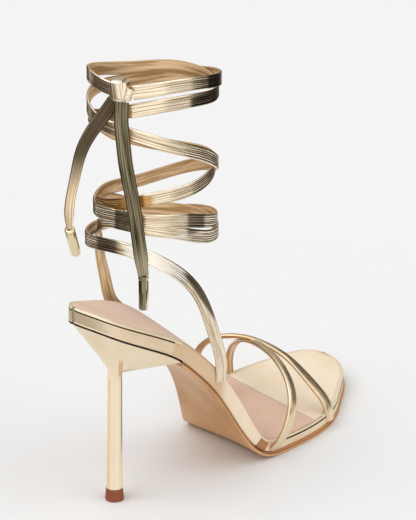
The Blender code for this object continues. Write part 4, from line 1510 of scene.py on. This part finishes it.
    def line_share(self, part: float, inset: float) -> float:
        """Return the share at which the lining's slanted front edge lies."""
        share = BED.station(self.line_x)
        for _ in range(12):
            point = self.across_at(share, part, inset)
            share = BED.station(self.line_x + self.line_slope * point[1])
        return share

    def cover(self, finishes: Finishes) -> None:
        """The matte lining behind a slanted line, and the pale gold cover ahead of it."""
        wide, steps = self.cover_steps
        parts = [i / wide for i in range(wide + 1)]
        ends = [self.line_share(part, self.lining_inset) for part in parts]
        start, toe = BED.station(2.6), BED.station(LENGTH - 2.2)
        for name, finish, rise, first, last in (
            ("sock_lining_leather", "lining_nude", 0.35, [start] * len(parts), ends),
            ("forefoot_cover_leather", "forefoot_gold", 0.22, ends, [toe] * len(parts)),
        ):
            rows = []
            for i in range(steps + 1):
                row = []
                for part, low, high in zip(parts, first, last):
                    share = low + (high - low) * i / steps
                    row.append(BED.top(self.across_at(share, part, self.lining_inset), rise))
                rows.append(row)
            piece = grid_skin(name, rows, loop=False, caps=False, sharp=60.0)
            thicken(piece, self.cover_thick, -1.0)
            dress(piece, Slot.LINING, finishes[finish])

    def tube(
        self, name: str, points: Sequence[np.ndarray], radius: float, sides: int = 8
    ) -> bpy.types.Object:
        """Return a thin round line through points."""
        rings = []
        for i, centre in enumerate(points):
            ahead = unit(points[min(i + 1, len(points) - 1)] - points[max(i - 1, 0)])
            side = unit(np.cross(ahead, (0.0, 0.0, 1.0)))
            up = np.cross(side, ahead)
            turns = [2 * math.pi * k / sides for k in range(sides)]
            rings.append([centre + (side * math.cos(t) + up * math.sin(t)) * radius for t in turns])
        return grid_skin(name, rings, sharp=60.0)

    def lines(self, finishes: Finishes) -> None:
        """A near-black tube of painted shade in the groove, and a gold lip, where the wrapped edge meets the
        heel's cover.
        """
        front = BED.station(BREAST)
        for side, word in ((-1, "outer"), (1, "inner")):
            shares = [front * (1 - i / self.seat_steps) for i in range(self.seat_steps + 1)]
            groove = [BED.under(BED.plan(max(s, 0.006), side, 0.25), 0.1) for s in shares]
            lip = [BED.under(BED.plan(max(s, 0.006), side, 0.1), -0.75) for s in shares]
            dress(self.tube(f"seat_groove_{word}", groove, 0.42), Slot.HEEL, finishes["groove_dark"])
            dress(self.tube(f"seat_lip_{word}", lip, 0.3), Slot.LINING, finishes["lip_gold"])


# ---- Studio ----


def plain_material(name: str, colour: tuple[float, float, float], rough: float) -> bpy.types.Material:
    """Make a plain matte material for the stage."""
    made, shader = new_material(name)
    shader.inputs["Base Color"].default_value = (*colour, 1.0)
    shader.inputs["Roughness"].default_value = rough
    shader.inputs["Specular IOR Level"].default_value = 0.1
    return made


@dataclass
class Studio:
    """Camera, floor, soft lights and the cards that the metal reflects."""

    place: tuple[float, float, float] = (-0.85485, -0.70396, 0.5159)
    aim: tuple[float, float, float] = (-0.008, 0.0, 0.1)
    lens: float = 168.0
    # reflecting cards round the shoe: lowest and highest edge in metres, first bearing, then bearings in
    # degrees from +X with brightness; each card runs from the bearing before it
    cards: tuple = (
        (0.0, 0.052, 172.0, (
            (200, 0.5), (258, 1.1), (290, 0.1), (312, 0.8), (372, 0.07), (422, 0.35), (480, 0.08),
            (532, 0.12),
        )),
        (0.052, 0.086, 172.0, (
            (204, 0.3), (252, 1.0), (266, 0.4), (330, 0.07), (346, 0.4), (372, 0.1), (422, 0.35), (480, 0.06),
            (532, 0.2),
        )),
        (0.086, 0.34, 172.0, (
            (188, 0.4), (250, 1.15), (292, 0.85), (372, 0.05), (422, 0.4), (456, 0.07), (470, 0.6),
            (532, 0.1),
        )),
    )
    card_radius: float = 0.3
    ambient: float = 0.47
    paper: float = 0.871

    def camera(self) -> None:
        """Place the camera at the shoe's viewing angle."""
        data = bpy.data.cameras.new("camera")
        data.lens = self.lens
        made = bpy.data.objects.new("camera", data)
        made.location = self.place
        way = Vector(self.aim) - Vector(self.place)
        made.rotation_euler = way.to_track_quat("-Z", "Y").to_euler()
        bpy.context.scene.collection.objects.link(made)
        bpy.context.scene.camera = made

    def build(self) -> None:
        """Make floor, lights, cards and world."""
        scene = bpy.context.scene
        scene.view_settings.view_transform = "Standard"
        deselect()
        bpy.ops.mesh.primitive_plane_add(size=30.0, location=(0, 0, 0))
        floor = bpy.context.object
        floor.name = "floor"
        floor.data.materials.append(plain_material("pale_floor", (0.79, 0.79, 0.79), 0.8))
        self.ring_of_cards()
        for name, place, spread, power in (
            ("key", (-1.6, 0.6, 2.2), 50.0, 1.25),
            ("side", (0.6, -2.0, 1.6), 60.0, 0.7),
            ("top", (0.2, 0.3, 2.6), 90.0, 0.82),
        ):
            data = bpy.data.lights.new(name, "SUN")
            data.angle = math.radians(spread)
            data.energy = power
            data.color = (0.985, 0.99, 1.0)
            made = bpy.data.objects.new(name, data)
            made.location = place
            way = Vector((0.0, 0.0, 0.08)) - Vector(place)
            made.rotation_euler = way.to_track_quat("-Z", "Y").to_euler()
            scene.collection.objects.link(made)
        world = bpy.data.worlds.new("studio")
        world.use_nodes = True
        nodes = Nodes(world.node_tree)
        seen = nodes.add("ShaderNodeLightPath").outputs["Is Camera Ray"]
        ground = world.node_tree.nodes["Background"]
        ground.inputs[0].default_value = (1.0, 0.985, 0.965, 1.0)
        world.node_tree.links.new(nodes.span(seen, 0.0, 1.0, self.ambient, self.paper), ground.inputs[1])
        scene.world = world

    def ring_of_cards(self) -> None:
        """Stand cards round the shoe that only reflections see, warmer where they are darker."""
        number = 0
        for low, high, bearing, row in self.cards:
            for last, bright in row:
                self.card(f"card_{number:02d}", (low, high), (bearing, float(last)), bright)
                bearing = float(last)
                number += 1

    def card(
        self, name: str, heights: tuple[float, float], bearings: tuple[float, float], bright: float
    ) -> None:
        """Stand one card.

        Args:
            name: its name.
            heights: lowest and highest edge in metres.
            bearings: first and last bearing in degrees.
            bright: its brightness.
        """
        steps = 8
        rows = []
        for z in heights:
            row = []
            for k in range(steps + 1):
                a = math.radians(bearings[0] + (bearings[1] - bearings[0]) * k / steps)
                x, y = self.card_radius * math.cos(a), self.card_radius * math.sin(a)
                row.append(np.array((x, y, z)) / MM + MIDDLE)
            rows.append(row)
        made = grid_skin(name, rows, loop=False, caps=False)
        glow, _ = new_material(name)
        nodes = Nodes(glow.node_tree)
        warm = 1.0 - min(bright, 1.0)
        tone = (1.0, 0.975 - 0.2 * warm, 0.93 - 0.38 * warm, 1.0)
        shader = nodes.add("ShaderNodeEmission", {"Color": tone, "Strength": bright})
        glow.node_tree.links.new(shader.outputs[0], glow.node_tree.nodes["Material Output"].inputs[0])
        made.data.materials.append(glow)
        made.visible_camera = made.visible_diffuse = made.visible_shadow = made.visible_transmission = False


def main() -> None:
    """Build the camera and cords first, then every other sub-assembly."""
    logging.basicConfig(level=logging.INFO, format="%(name)s: %(message)s")
    studio = Studio()
    studio.camera()
    finishes = Finishes()
    knot = Knot().build(finishes)
    Tail("tail_a", TAIL_A, (0.42, 0.17, -0.89), (226.0, 238.0), taper=0.3).build(finishes, knot)
    Tail("tail_b", TAIL_B, (0.0, 0.0, -1.0), (240.0, 236.0), finish="gold_shaded").build(finishes, [])
    AnkleTies().build(finishes)
    ToeStraps().build(finishes)
    Heel().build(finishes)
    Footbed().build(finishes)
    studio.build()


if __name__ == "__main__":
    main()
